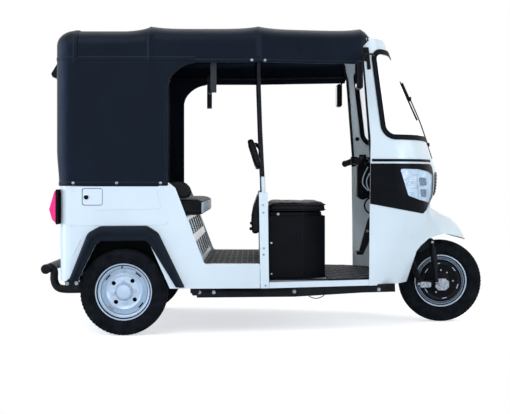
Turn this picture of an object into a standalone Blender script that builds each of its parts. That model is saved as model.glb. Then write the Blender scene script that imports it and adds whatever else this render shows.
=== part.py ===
"""Passenger motor tricycle with a soft top: one named solid for each sub-part.

Metres. X points forwards, Y to the vehicle's left and Z up, from the ground under its middle.
"""

import math

import bmesh
import bpy
from mathutils import Matrix, Vector

# Fits
GAP = 0.0003              # between pieces that touch
RUNNING = 0.006           # between pieces that move past each other
THROUGH = 0.02            # how far a cutter runs past the wall it cuts

# Wheels and axles
REAR_AXLE_X = -0.845
FRONT_AXLE_X = 1.11
REAR_TYRE_R = 0.254
REAR_TYRE_W = 0.145
FRONT_TYRE_R = 0.262
FRONT_TYRE_W = 0.100
RIM_R = 0.152             # bead seat of the 12 inch rims
RIM_LIP = 0.014
REAR_RIM_W = 0.110
FRONT_RIM_W = 0.080
WHEEL_STEPS = 28
TRACK = 1.06
AXLE_R = 0.030
STUB_R = 0.015
HUB_BORE_R = 0.01535

# Rear body
BODY_HALF = 0.62
BODY_REAR_X = -1.22
BODY_FRONT_X = -0.052
BODY_TOP = 0.868
BODY_BOTTOM = 0.278
TAIL_BOTTOM = 0.319
BODY_WALL = 0.012
CORNER_R = 0.10
SHOULDER = (-0.585, 0.895)
SHOULDER_FRONT = (-0.541, 0.860)
REAR_FLOOR = 0.418
FRONT_FLOOR = 0.320
DECK = 0.012
HANGER_BOTTOM = 0.3428
BENCH_FOOT_X = -0.386      # where the front of the passengers' bench meets the floor
FLANGE = 0.045
LINER = 0.008
FLARE_OUT = 0.030

# Front body
COWL_REAR_X = 0.60
COWL_HALF = 0.455
COWL_WALL = 0.008
POST_X = -0.022
POST_TOP = 0.83
POST_TUBE_TOP = 0.925
SILL_TOP = 0.312
SILL_FRONT_HALF = 0.455
SILL_REAR_HALF = 0.60
HEADER_TOP = 1.745

# Soft top
CANOPY_FRONT_X = 0.60
CANOPY_TOP = 1.795
CANOPY_CROWN = 0.030
CANOPY_FRINGE = 1.587
CANOPY_SEAM = 1.612
CANOPY_WALL = 0.004
BOW_X = (-1.12, -0.69, -0.06, 0.545)
BOW_R = 0.012
FRONT_TAPER = 0.105       # how much each side of the soft top comes in at its front end

# Steering
RAKE = math.radians(27.5)
AXIS_OFFSET = 0.088       # the steering axis passes this far behind the front axle
STEM_R = 0.018
HEAD_BORE_R = 0.01840
HEAD_R = 0.030
LEG_Y = 0.088
LINK_X = 0.967
LINK_Z = 0.254

MATERIALS = {
    "white_paint": ((0.80, 0.85, 0.88), 0.30, 0.0),
    "black_plastic": ((0.020, 0.022, 0.026), 0.45, 0.0),
    "black_steel": ((0.012, 0.012, 0.014), 0.40, 0.3),
    "soft_top_vinyl": ((0.010, 0.013, 0.020), 0.50, 0.0),
    "seat_vinyl": ((0.012, 0.012, 0.014), 0.45, 0.0),
    "tyre_rubber": ((0.010, 0.010, 0.011), 0.80, 0.0),
    "silver_steel": ((0.55, 0.60, 0.66), 0.30, 0.8),
    "glass": ((0.85, 0.92, 0.95), 0.05, 0.0),
    "lamp_glass": ((0.75, 0.80, 0.85), 0.08, 0.0),
    "red_lens": ((0.85, 0.01, 0.22), 0.12, 0.0),
    "deck_rubber": ((0.018, 0.018, 0.020), 0.70, 0.0),
    "cast_alloy": ((0.40, 0.41, 0.42), 0.45, 0.8),
}


def clear_scene():
    for obj in list(bpy.data.objects):
        bpy.data.objects.remove(obj, do_unlink=True)


def collection(name, hidden=False):
    made = bpy.data.collections.new(name)
    bpy.context.scene.collection.children.link(made)
    made.hide_render = hidden
    return made


def material(name):
    made = bpy.data.materials.get(name)
    if made:
        return made
    colour, roughness, metallic = MATERIALS[name]
    made = bpy.data.materials.new(name)
    made.use_nodes = True
    made.diffuse_color = (*colour, 1)
    shader = made.node_tree.nodes["Principled BSDF"]
    shader.inputs["Base Color"].default_value = (*colour, 1)
    shader.inputs["Roughness"].default_value = roughness
    shader.inputs["Metallic"].default_value = metallic
    return made


def place(name, mesh, group=None):
    obj = bpy.data.objects.new(name, mesh)
    (group or PARTS).objects.link(obj)
    return obj


def bake(obj, name=None, group=None):
    """The evaluated shape of obj as a plain closed mesh in world space. obj itself is removed."""
    bpy.context.view_layer.update()
    graph = bpy.context.evaluated_depsgraph_get()
    mesh = bpy.data.meshes.new_from_object(obj.evaluated_get(graph))
    mesh.transform(obj.matrix_world)
    shape = bmesh.new()
    shape.from_mesh(mesh)
    bmesh.ops.remove_doubles(shape, verts=shape.verts, dist=0.00005)
    bmesh.ops.recalc_face_normals(shape, faces=shape.faces)
    shape.to_mesh(mesh)
    shape.free()
    kept = name or obj.name
    bpy.data.objects.remove(obj, do_unlink=True)
    return place(kept, mesh, group)


def finish(obj, name, finish_name, angle=35):
    """Names a solid, gives it its material and shades it smooth up to sharp edges."""
    obj.name = name
    obj.data.materials.clear()
    obj.data.materials.append(material(finish_name))
    obj.data.shade_smooth()
    obj.data.set_sharp_from_angle(angle=math.radians(angle))
    return obj


def mesh_from(shape, name="piece", group=None):
    bmesh.ops.recalc_face_normals(shape, faces=shape.faces)
    mesh = bpy.data.meshes.new(name)
    shape.to_mesh(mesh)
    shape.free()
    return place(name, mesh, group)


def box(low, high, bevel=0.0, segments=2):
    """A box between two corners, with rounded edges when bevel is given."""
    low, high = Vector(low), Vector(high)
    shape = bmesh.new()
    bmesh.ops.create_cube(shape, size=1, matrix=Matrix.Diagonal((*(high - low), 1)))
    if bevel:
        bmesh.ops.bevel(shape, geom=shape.edges[:], offset=bevel, segments=segments, profile=0.5, affect="EDGES")
    bmesh.ops.translate(shape, vec=(low + high) / 2, verts=shape.verts)
    return mesh_from(shape)


def rod(start, end, radius, end_radius=None, sides=16):
    """A round bar or cone from start to end."""
    start, end = Vector(start), Vector(end)
    shape = bmesh.new()
    bmesh.ops.create_cone(
        shape, cap_ends=True, segments=sides, radius1=radius,
        radius2=radius if end_radius is None else end_radius, depth=(end - start).length,
    )
    turn = (end - start).to_track_quat("Z", "Y").to_matrix().to_4x4()
    bmesh.ops.transform(shape, matrix=Matrix.Translation((start + end) / 2) @ turn, verts=shape.verts)
    return mesh_from(shape)


def tube(points, radius, resolution=2, bend=0.0):
    """A bent tube through points: a poly curve, its corners rounded to the radius bend, with filled caps."""
    route = round_route([Vector(p) for p in points], bend)
    data = bpy.data.curves.new("tube", "CURVE")
    data.dimensions = "3D"
    data.bevel_depth = radius
    data.bevel_resolution = resolution
    data.use_fill_caps = True
    spline = data.splines.new("POLY")
    spline.points.add(len(route) - 1)
    for point, at in zip(spline.points, route):
        point.co = (*at, 1)
    return bake(place("tube", data))


def round_route(points, bend, steps=3):
    """The route with each inner corner replaced by an arc of about the radius bend."""
    if not bend:
        return points
    route = [points[0]]
    for before, at, after in zip(points, points[1:], points[2:]):
        back, on = before - at, after - at
        half = back.angle(on) / 2
        reach = min(bend / math.tan(half), 0.45 * back.length, 0.45 * on.length)
        start, end = at + back.normalized() * reach, at + on.normalized() * reach
        for i in range(steps + 1):
            t = i / steps
            route.append(start * (1 - t) ** 2 + at * 2 * t * (1 - t) + end * t * t)
    return route + [points[-1]]


def rounded(corners, steps=4):
    """An outline whose corners (a, b, radius) are rounded. A radius of 0 keeps the corner sharp."""
    made = []
    count = len(corners)
    for i, (a, b, radius) in enumerate(corners):
        at = Vector((a, b))
        if not radius:
            made.append(at)
            continue
        back = Vector(corners[i - 1][:2]) - at
        on = Vector(corners[(i + 1) % count][:2]) - at
        half = back.angle(on) / 2
        reach = min(radius / math.tan(half), 0.48 * back.length, 0.48 * on.length)
        start, end = at + back.normalized() * reach, at + on.normalized() * reach
        for k in range(steps + 1):
            t = k / steps
            made.append(start * (1 - t) ** 2 + at * 2 * t * (1 - t) + end * t * t)
    return made


PLANES = {
    "XZ": Matrix(((1, 0, 0, 0), (0, 0, -1, 0), (0, 1, 0, 0), (0, 0, 0, 1))),
    "YZ": Matrix(((0, 0, 1, 0), (1, 0, 0, 0), (0, 1, 0, 0), (0, 0, 0, 1))),
    "XY": Matrix.Identity(4),
}


def extruded(outline, low, high, plane="XZ"):
    """A flat outline in the given plane, as a solid from low to high along the plane's normal."""
    data = bpy.data.curves.new("outline", "CURVE")
    data.dimensions = "2D"
    data.fill_mode = "BOTH"
    data.extrude = (high - low) / 2
    spline = data.splines.new("POLY")
    spline.points.add(len(outline) - 1)
    for point, at in zip(spline.points, outline):
        point.co = (at[0], at[1], 0, 1)
    spline.use_cyclic_u = True
    obj = place("outline", data)
    middle = (low + high) / 2
    shift = {"XZ": (0, middle, 0), "YZ": (middle, 0, 0), "XY": (0, 0, middle)}[plane]
    obj.matrix_world = Matrix.Translation(shift) @ PLANES[plane]
    return bake(obj)


def turned(profile, centre, steps=40, axis="Y"):
    """A profile of (radius, height) turned about an axis through centre: a Screw modifier on its outline."""
    mesh = bpy.data.meshes.new("profile")
    count = len(profile)
    mesh.from_pydata([(r, 0, h) for r, h in profile], [(i, (i + 1) % count) for i in range(count)], [])
    obj = place("turned", mesh)
    screw = obj.modifiers.new("turn", "SCREW")
    screw.steps = steps
    screw.render_steps = steps
    screw.use_merge_vertices = True
    screw.merge_threshold = 0.0001
    turn = Matrix.Rotation(math.radians(-90), 4, "X") if axis == "Y" else Matrix.Identity(4)
    obj.matrix_world = Matrix.Translation(centre) @ turn
    return bake(obj)


def boolean(obj, others, operation):
    """Applies a Boolean with each of the other meshes in turn, and removes them."""
    for other in others:
        modifier = obj.modifiers.new(operation.lower(), "BOOLEAN")
        modifier.operation = operation
        modifier.solver = "EXACT"
        modifier.object = other
        obj = bake(obj)
        bpy.data.objects.remove(other, do_unlink=True)
    return obj


def union(*pieces):
    return boolean(pieces[0], pieces[1:], "UNION")


def cut(obj, *cutters):
    return boolean(obj, cutters, "DIFFERENCE")


def common(obj, *others):
    return boolean(obj, others, "INTERSECT")


def mirrored(obj):
    """A copy of obj on the vehicle's other side."""
    mesh = obj.data.copy()
    mesh.transform(Matrix.Diagonal((1, -1, 1, 1)))
    mesh.flip_normals()
    return place(obj.name + "_copy", mesh)


def both_sides(make, name, finish_name):
    """Builds the right-hand piece at -Y and its mirror image on the left."""
    right = make()
    left = mirrored(right)
    finish(right, name + "_right", finish_name)
    finish(left, name + "_left", finish_name)


def duplicate(obj):
    return place(obj.name + "_copy", obj.data.copy())


def loft(rings):
    """A closed solid through rings of points, all with the same count, its two ends capped."""
    shape = bmesh.new()
    made = [[shape.verts.new(at) for at in ring] for ring in rings]
    for first, second in zip(made, made[1:]):
        for i in range(len(first)):
            k = (i + 1) % len(first)
            shape.faces.new((first[i], first[k], second[k], second[i]))
    shape.faces.new(reversed(made[0]))
    shape.faces.new(made[-1])
    return mesh_from(shape)


def smooth_line(points, count):
    """count points spaced evenly along a Catmull-Rom curve through points."""
    ends = [2 * points[0] - points[1], *points, 2 * points[-1] - points[-2]]
    dense = []
    for i in range(1, len(ends) - 2):
        a, b, c, d = ends[i - 1:i + 3]
        for k in range(12):
            t = k / 12
            dense.append(
                0.5 * (2 * b + (c - a) * t + (2 * a - 5 * b + 4 * c - d) * t * t + (3 * b - a - 3 * c + d) * t ** 3)
            )
    dense.append(points[-1])
    reach = [0.0]
    for first, second in zip(dense, dense[1:]):
        reach.append(reach[-1] + (second - first).length)
    made = []
    j = 0
    for i in range(count):
        target = reach[-1] * i / (count - 1)
        while j < len(reach) - 2 and reach[j + 1] < target:
            j += 1
        t = (target - reach[j]) / (reach[j + 1] - reach[j])
        made.append(dense[j].lerp(dense[j + 1], min(t, 1)))
    return made


# The front body: half sections from the rear edge to the middle, each at one height
COWL_SECTIONS = {
    0.265: ((0.60, 0.455), (0.70, 0.412), (0.78, 0.335), (0.84, 0.25), (0.885, 0.16), (0.905, 0.08), (0.91, 0.0)),
    0.420: ((0.60, 0.465), (0.72, 0.432), (0.83, 0.345), (0.91, 0.26), (0.99, 0.19), (1.04, 0.10), (1.06, 0.0)),
    0.530: ((0.60, 0.470), (0.75, 0.440), (0.90, 0.320), (1.03, 0.215), (1.15, 0.165), (1.24, 0.10), (1.268, 0.0)),
    0.590: ((0.60, 0.475), (0.77, 0.450), (0.92, 0.340), (1.03, 0.225), (1.14, 0.155), (1.22, 0.09), (1.243, 0.0)),
    0.663: ((0.60, 0.480), (0.78, 0.462), (0.93, 0.370), (1.01, 0.260), (1.09, 0.150), (1.155, 0.08), (1.177, 0.0)),
    0.733: ((0.60, 0.490), (0.79, 0.478), (0.93, 0.410), (1.00, 0.300), (1.035, 0.18), (1.052, 0.09), (1.056, 0.0)),
    0.800: ((0.60, 0.500), (0.80, 0.490), (0.94, 0.425), (1.02, 0.310), (1.06, 0.19), (1.076, 0.09), (1.080, 0.0)),
    0.950: ((0.60, 0.512), (0.80, 0.500), (0.94, 0.430), (1.02, 0.310), (1.06, 0.19), (1.076, 0.09), (1.080, 0.0)),
    1.050: ((0.60, 0.520), (0.80, 0.505), (0.93, 0.435), (1.00, 0.310), (1.04, 0.19), (1.055, 0.09), (1.060, 0.0)),
    1.160: ((0.60, 0.520), (0.78, 0.502), (0.91, 0.430), (0.98, 0.310), (1.02, 0.19), (1.036, 0.09), (1.040, 0.0)),
    1.745: ((0.60, 0.500), (0.66, 0.465), (0.71, 0.385), (0.745, 0.280), (0.762, 0.17), (0.772, 0.08), (0.775, 0.0)),
}
COWL_POINTS = 12


def cowl_line(z, inset):
    """The front body's half outline at this height, from its rear edge to the middle, moved inwards by inset."""
    levels = sorted(COWL_SECTIONS)
    above = next(level for level in levels if level >= z - 1e-6)
    line = smooth_line([Vector(p) for p in COWL_SECTIONS[above]], COWL_POINTS)
    if above - z > 1e-6 and above != levels[0]:
        below = max(level for level in levels if level < above)
        low = smooth_line([Vector(p) for p in COWL_SECTIONS[below]], COWL_POINTS)
        t = (z - below) / (above - below)
        line = [a.lerp(b, t) for a, b in zip(low, line)]
    made = []
    for i, at in enumerate(line):
        along = line[min(i + 1, len(line) - 1)] - line[max(i - 1, 0)]
        if i == 0:
            along = Vector((1, 0))
        if i == len(line) - 1:
            along = Vector((0, -1))
        made.append(at + Vector((along.y, -along.x)).normalized() * inset)
    return made


def cowl_shell(inset, wall, low, high):
    """The wall of the front body between two heights. inset moves its outside inwards."""
    levels = sorted(COWL_SECTIONS)
    outside, inside = [], []
    for z in [low] + [level for level in levels if low < level < high] + [high]:
        for kept, distance in ((outside, inset), (inside, inset + wall)):
            half = cowl_line(z, distance)
            kept.append([(p.x, p.y, z) for p in half] + [(p.x, -p.y, z) for p in reversed(half[:-1])])
    return sheet_between(outside, inside)


def sheet_between(outside, inside):
    """A closed wall between two grids of points with the same rows and columns."""
    shape = bmesh.new()
    outer = [[shape.verts.new(at) for at in row] for row in outside]
    inner = [[shape.verts.new(at) for at in row] for row in inside]
    rows, columns = len(outer), len(outer[0])
    for i in range(rows - 1):
        for k in range(columns - 1):
            for grid in (outer, inner):
                a, b, c, d = grid[i][k], grid[i][k + 1], grid[i + 1][k + 1], grid[i + 1][k]
                if k < columns // 2:
                    a, b, c, d = b, c, d, a
                shape.faces.new((a, b, c))
                shape.faces.new((a, c, d))
    for i in (0, rows - 1):
        for k in range(columns - 1):
            shape.faces.new((outer[i][k], outer[i][k + 1], inner[i][k + 1], inner[i][k]))
    for k in (0, columns - 1):
        for i in range(rows - 1):
            shape.faces.new((outer[i][k], outer[i + 1][k], inner[i + 1][k], inner[i][k]))
    return mesh_from(shape)


def side_prism(outline, reach=1.0):
    """An outline in X and Z run right across the vehicle."""
    return extruded(outline, -reach, reach, "XZ")


WINDOW = ((0.664, 1.700, 0.03), (0.722, 1.235, 0.03), (0.775, 1.185, 0.05), (1.30, 1.185, 0), (1.30, 1.700, 0))
SEAL_W = 0.026
BAND_REAR_Z = 0.769
BAND_FRONT_Z = 0.695
BAND_TOP = 1.003


def grown(corners, distance):
    """The outline with each side moved outwards by distance. Corners run clockwise or anticlockwise."""
    points = [Vector(c[:2]) for c in corners]
    area = sum(a.x * b.y - b.x * a.y for a, b in zip(points, points[1:] + points[:1]))
    turn = 1 if area > 0 else -1
    made = []
    for i, at in enumerate(points):
        before = (at - points[i - 1]).normalized()
        after = (points[(i + 1) % len(points)] - at).normalized()
        first = Vector((before.y, -before.x)) * turn
        second = Vector((after.y, -after.x)) * turn
        mitre = (first + second) / (1 + first.dot(second))
        made.append((*(at + mitre * distance), corners[i][2] if len(corners[i]) > 2 else 0))
    return made


def front_body():
    slope = (BAND_FRONT_Z - BAND_REAR_Z) / 0.48
    at_low = BAND_REAR_Z - 0.1 * slope
    at_high = BAND_REAR_Z + 0.9 * slope
    low = [(0.5, at_low - GAP), (1.5, at_high - GAP), (1.5, 0.1), (0.5, 0.1)]
    band = [(0.5, at_low), (1.5, at_high), (1.5, BAND_TOP), (0.5, BAND_TOP)]
    arch = rounded([
        (0.86, 0.15, 0), (0.86, 0.277, 0), (0.917, 0.499, 0.02), (0.940, 0.503, 0.01), (0.995, 0.545, 0.03),
        (1.15, 0.566, 0.05), (1.40, 0.510, 0), (1.40, 0.15, 0),
    ])
    lower = common(cowl_shell(0, COWL_WALL, 0.277, 0.80), side_prism(low))
    lower = cut(lower, side_prism(arch))
    finish(lower, "lower_cowl", "white_paint")

    lamp = [(0.815, 0.968, 0.012), (0.985, 0.942, 0.012), (1.006, 0.845, 0.01), (0.992, 0.768, 0.01),
            (0.945, 0.776, 0.01), (0.872, 0.821, 0.01), (0.822, 0.925, 0.02)]
    lamp_side = rounded(grown(lamp, 0.003), 3)
    belt = cut(
        cowl_shell(-0.003, COWL_WALL + 0.003, 0.62, 1.03),
        extruded(lamp_side, 0.15, 0.7, "XZ"), extruded(lamp_side, -0.7, -0.15, "XZ"),
    )
    belt = common(belt, side_prism(band))
    finish(belt, "black_band", "black_plastic")

    def headlamp():
        glass = cowl_shell(-0.004, 0.045, 0.70, 0.99)
        return common(glass, extruded(rounded(grown(lamp, 0.0025), 3), -0.7, -0.152, "XZ"))

    both_sides(headlamp, "headlamp", "lamp_glass")

    upper = cowl_shell(0, COWL_WALL, BAND_TOP + GAP, HEADER_TOP)
    upper = cut(upper, side_prism(rounded(WINDOW)))
    finish(upper, "upper_cowl", "white_paint")
    seal = common(
        cowl_shell(-0.004, 0.016, 1.14, 1.72), side_prism(rounded(grown(WINDOW, -GAP)))
    )
    seal = cut(seal, side_prism(rounded(grown(WINDOW, -SEAL_W))))
    finish(seal, "windscreen_seal", "black_plastic")
    glass = common(
        cowl_shell(0.001, 0.005, 1.14, 1.72), side_prism(rounded(grown(WINDOW, -SEAL_W - GAP)))
    )
    finish(glass, "windscreen", "glass")


def axis_at(z):
    """The point of the steering axis at this height."""
    return Vector((FRONT_AXLE_X - AXIS_OFFSET - (z - FRONT_TYRE_R) * math.tan(RAKE), 0, z))


def chassis():
    z = 0.2547
    r = 0.022
    main = [(-1.18, 0.30, 0.365), (-0.55, 0.30, 0.365), (-0.45, 0.30, z), (0.42, 0.30, z), (0.742, 0.165, z),
            (0.746, 0.11, 0.35), (0.778, 0.022, 0.70)]
    outer = [(-0.43, 0.565, z), (0.02, 0.555, z), (0.57, 0.41, z), (0.645, 0.33, z), (0.645, -0.33, z)]
    frame = tube(main, r, 1, 0.035)
    frame = union(
        frame, tube([(x, -y, h) for x, y, h in main], r, 1, 0.035),
        tube(outer[:-1] + [(x, -y, h) for x, y, h in reversed(outer[:-1])], r, 1, 0.05),
        tube([(-0.43, -0.604, z), (-0.43, 0.604, z)], 0.0219, 1),
        tube([(-0.025, -0.56, z), (-0.025, 0.56, z)], 0.0218, 1),
        tube([(0.17, -0.51, z), (0.17, 0.51, z)], 0.0217, 1),
        tube([(-1.165, -0.555, 0.365), (-1.165, 0.555, 0.365)], 0.0219, 1),
        tube([(-0.575, -0.405, 0.365), (-0.575, 0.405, 0.365)], 0.0218, 1),
        rod(axis_at(0.585), axis_at(0.79), HEAD_R, sides=20),
    )
    pads = []
    for side in (-1, 1):
        for x, y, top in ((-0.43, 0.575, BODY_BOTTOM), (0.17, 0.30, SILL_TOP - DECK), (0.42, 0.30, SILL_TOP - DECK),
                          (-0.025, 0.545, BODY_BOTTOM)):
            pads.append(box((x - 0.025, side * y - 0.026, z - 0.005), (x + 0.025, side * y + 0.026, top - GAP)))
        for x, y in ((-1.165, 0.375), (-0.575, 0.375), (-1.165, 0.25)):
            pads.append(box((x - 0.014, side * y - 0.03, HANGER_BOTTOM), (x + 0.014, side * y + 0.03, 0.37)))
    frame = union(frame, *pads)
    frame = cut(frame, rod(axis_at(0.5), axis_at(0.9), HEAD_BORE_R, sides=20))
    finish(frame, "chassis_frame", "black_steel")


def springs_and_axle():
    def spring():
        leaf = [(-1.165, 0.322), (-1.14, 0.306), (-0.845, 0.288), (-0.60, 0.306), (-0.575, 0.322),
                (-0.575, 0.311), (-0.60, 0.296), (-0.845, 0.2853), (-1.14, 0.296), (-1.165, 0.311)]
        helper = [(-1.04, 0.3), (-0.845, 0.312), (-0.65, 0.3), (-0.65, 0.295), (-0.845, 0.29), (-1.04, 0.295)]
        body = union(
            extruded(leaf, -0.40, -0.35, "XZ"), extruded(helper, -0.3995, -0.3505, "XZ"),
            rod((-1.165, -0.401, 0.329), (-1.165, -0.349, 0.329), 0.0135),
            rod((-0.575, -0.401, 0.329), (-0.575, -0.349, 0.329), 0.0135),
        )
        return body

    both_sides(spring, "leaf_spring", "black_steel")
    axle = rod((REAR_AXLE_X, -0.42, REAR_TYRE_R), (REAR_AXLE_X, 0.42, REAR_TYRE_R), AXLE_R)
    seats = [
        box((REAR_AXLE_X - 0.04, side * 0.375 - 0.028, 0.262), (REAR_AXLE_X + 0.04, side * 0.375 + 0.028, 0.285))
        for side in (-1, 1)
    ]
    hub = [(0.0, -0.085), (0.045, -0.085), (0.085, -0.03), (0.085, 0.03), (0.045, 0.085), (0.0, 0.085)]
    axle = union(
        axle, *seats, turned(hub, (REAR_AXLE_X, 0, REAR_TYRE_R), 16),
        rod((REAR_AXLE_X, -0.452, REAR_TYRE_R), (REAR_AXLE_X, -0.412, REAR_TYRE_R), 0.105, sides=20),
        rod((REAR_AXLE_X, 0.412, REAR_TYRE_R), (REAR_AXLE_X, 0.452, REAR_TYRE_R), 0.105, sides=20),
        rod((REAR_AXLE_X, -0.575, REAR_TYRE_R), (REAR_AXLE_X, 0.575, REAR_TYRE_R), STUB_R, sides=20),
    )
    finish(axle, "rear_axle", "black_steel")


def engine():
    body = union(
        box((-1.135, -0.17, 0.30), (-0.955, 0.15, 0.56), 0.03),
        box((-0.965, -0.11, 0.345), (-0.74, 0.11, 0.47), 0.025),
        rod((-1.05, -0.16, 0.40), (-1.05, -0.235, 0.40), 0.095, 0.085, 24),
        rod((-1.05, 0.14, 0.45), (-1.05, 0.22, 0.45), 0.06, 0.055, 20),
        box((-1.1427, -0.12, 0.350), (-1.12, 0.12, 0.380)),
    )
    finish(body, "engine", "cast_alloy")


def rim_profile(rim_w, dish):
    """The wheel's disc and rim as (radius, height). dish is how far the disc stands out of the middle."""
    lip = RIM_R + RIM_LIP
    h = rim_w / 2
    return [
        (HUB_BORE_R, dish - 0.030), (0.046, dish - 0.030), (0.055, dish - 0.004), (0.140, dish - 0.024),
        (0.142, -h + 0.010), (lip, -h), (RIM_R, -h + 0.014), (RIM_R, h - 0.014), (lip, h), (0.1475, h - 0.010),
        (0.1465, dish - 0.016), (0.060, dish + 0.005), (0.046, dish + 0.020), (HUB_BORE_R, dish + 0.020),
    ]


def tyre_profile(tyre_r, tyre_w, rim_w):
    h = tyre_w / 2
    seat = RIM_R + 0.0004
    lip = RIM_R + RIM_LIP
    side = rim_w / 2 - 0.0145
    return [
        (seat, -side), (lip, -side - 0.002), (lip + 0.010, -h + 0.012), (tyre_r - 0.050, -h),
        (tyre_r - 0.018, -h + 0.009), (tyre_r - 0.003, -h + 0.030), (tyre_r, -h + 0.048), (tyre_r, h - 0.048),
        (tyre_r - 0.003, h - 0.030), (tyre_r - 0.018, h - 0.009), (tyre_r - 0.050, h), (lip + 0.010, h - 0.012),
        (lip, side + 0.002), (seat, side),
    ]


def wheels():
    def tyre(centre, radius, width, rim_w):
        return turned(tyre_profile(radius, width, rim_w), centre, WHEEL_STEPS)

    def rear_tyre():
        return tyre((REAR_AXLE_X, -TRACK / 2, REAR_TYRE_R), REAR_TYRE_R, REAR_TYRE_W, REAR_RIM_W)

    def rear_rim():
        profile = [(r, -h) for r, h in reversed(rim_profile(REAR_RIM_W, 0.018))]
        rim = turned(profile, (REAR_AXLE_X, -TRACK / 2, REAR_TYRE_R), WHEEL_STEPS)
        holes = []
        for k in range(4):
            a = math.radians(90 * k + 12)
            x, z = REAR_AXLE_X + 0.084 * math.cos(a), REAR_TYRE_R + 0.084 * math.sin(a)
            holes.append(rod((x, -0.62, z), (x, -0.44, z), 0.0125, sides=10))
        return cut(rim, *holes)

    both_sides(rear_tyre, "rear_tyre", "tyre_rubber")
    both_sides(rear_rim, "rear_rim", "silver_steel")
    centre = (FRONT_AXLE_X, 0, FRONT_TYRE_R)
    finish(tyre(centre, FRONT_TYRE_R, FRONT_TYRE_W, FRONT_RIM_W), "front_tyre", "tyre_rubber")
    finish(turned(rim_profile(FRONT_RIM_W, 0.0), centre, WHEEL_STEPS), "front_rim", "silver_steel")


def fork():
    crown = axis_at(0.553)
    hub = Vector((FRONT_AXLE_X, 0, FRONT_TYRE_R))
    pivot = Vector((LINK_X, 0, LINK_Z))
    pieces = [
        rod(axis_at(0.553), axis_at(1.005), STEM_R, sides=20),
        rod(axis_at(0.545), axis_at(0.5845), 0.034, sides=20),
        tube([crown + Vector((0, -LEG_Y, -0.012)), crown + Vector((0, LEG_Y, -0.012))], 0.02, 1),
    ]
    for side in (-1, 1):
        out = Vector((0, side * LEG_Y, 0))
        pieces.append(tube([crown + out + Vector((0, 0, -0.006)), pivot + out * 1.0 + Vector((0, 0, 0.0))], 0.0185, 1))
        pieces.append(rod(pivot + out * 0.8, pivot + out * 1.35, 0.024))
        pieces.append(tube([pivot + out * 1.16, hub + out * 1.16], 0.0155, 1))
    pieces.append(rod(hub + Vector((0, -0.117, 0)), hub + Vector((0, 0.117, 0)), STUB_R, sides=20))
    body = union(*pieces)
    finish(body, "fork", "black_steel")


ARCH_OUTER = ((-1.150, 0.330, 0), (-1.045, 0.596, 0.03), (-0.975, 0.632, 0.03), (-0.702, 0.636, 0.03),
              (-0.640, 0.598, 0.03), (-0.490, 0.286, 0))
ARCH_INNER = ((-1.101, 0.330, 0), (-1.002, 0.530, 0.02), (-0.972, 0.552, 0.02), (-0.715, 0.556, 0.02),
              (-0.686, 0.530, 0.02), (-0.537, 0.200, 0))
FUEL_DOOR = ((-1.078, 0.760), (-0.962, 0.856))
HATCH = ((-0.415, 0.440), (0.415, 0.822))
DOOR_GAP = 0.002


def body_plan(inset, front_x):
    """The rear body seen from above, moved inwards by inset."""
    half = BODY_HALF - inset
    rear = BODY_REAR_X + inset
    r = CORNER_R - inset
    front_half = half - 0.0186 * (front_x + 0.45) / 0.43
    return rounded([
        (rear, -half, r), (-0.45, -half, 0), (front_x, -front_half, 0), (front_x, front_half, 0),
        (-0.45, half, 0), (rear, half, r),
    ], 6)


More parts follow.
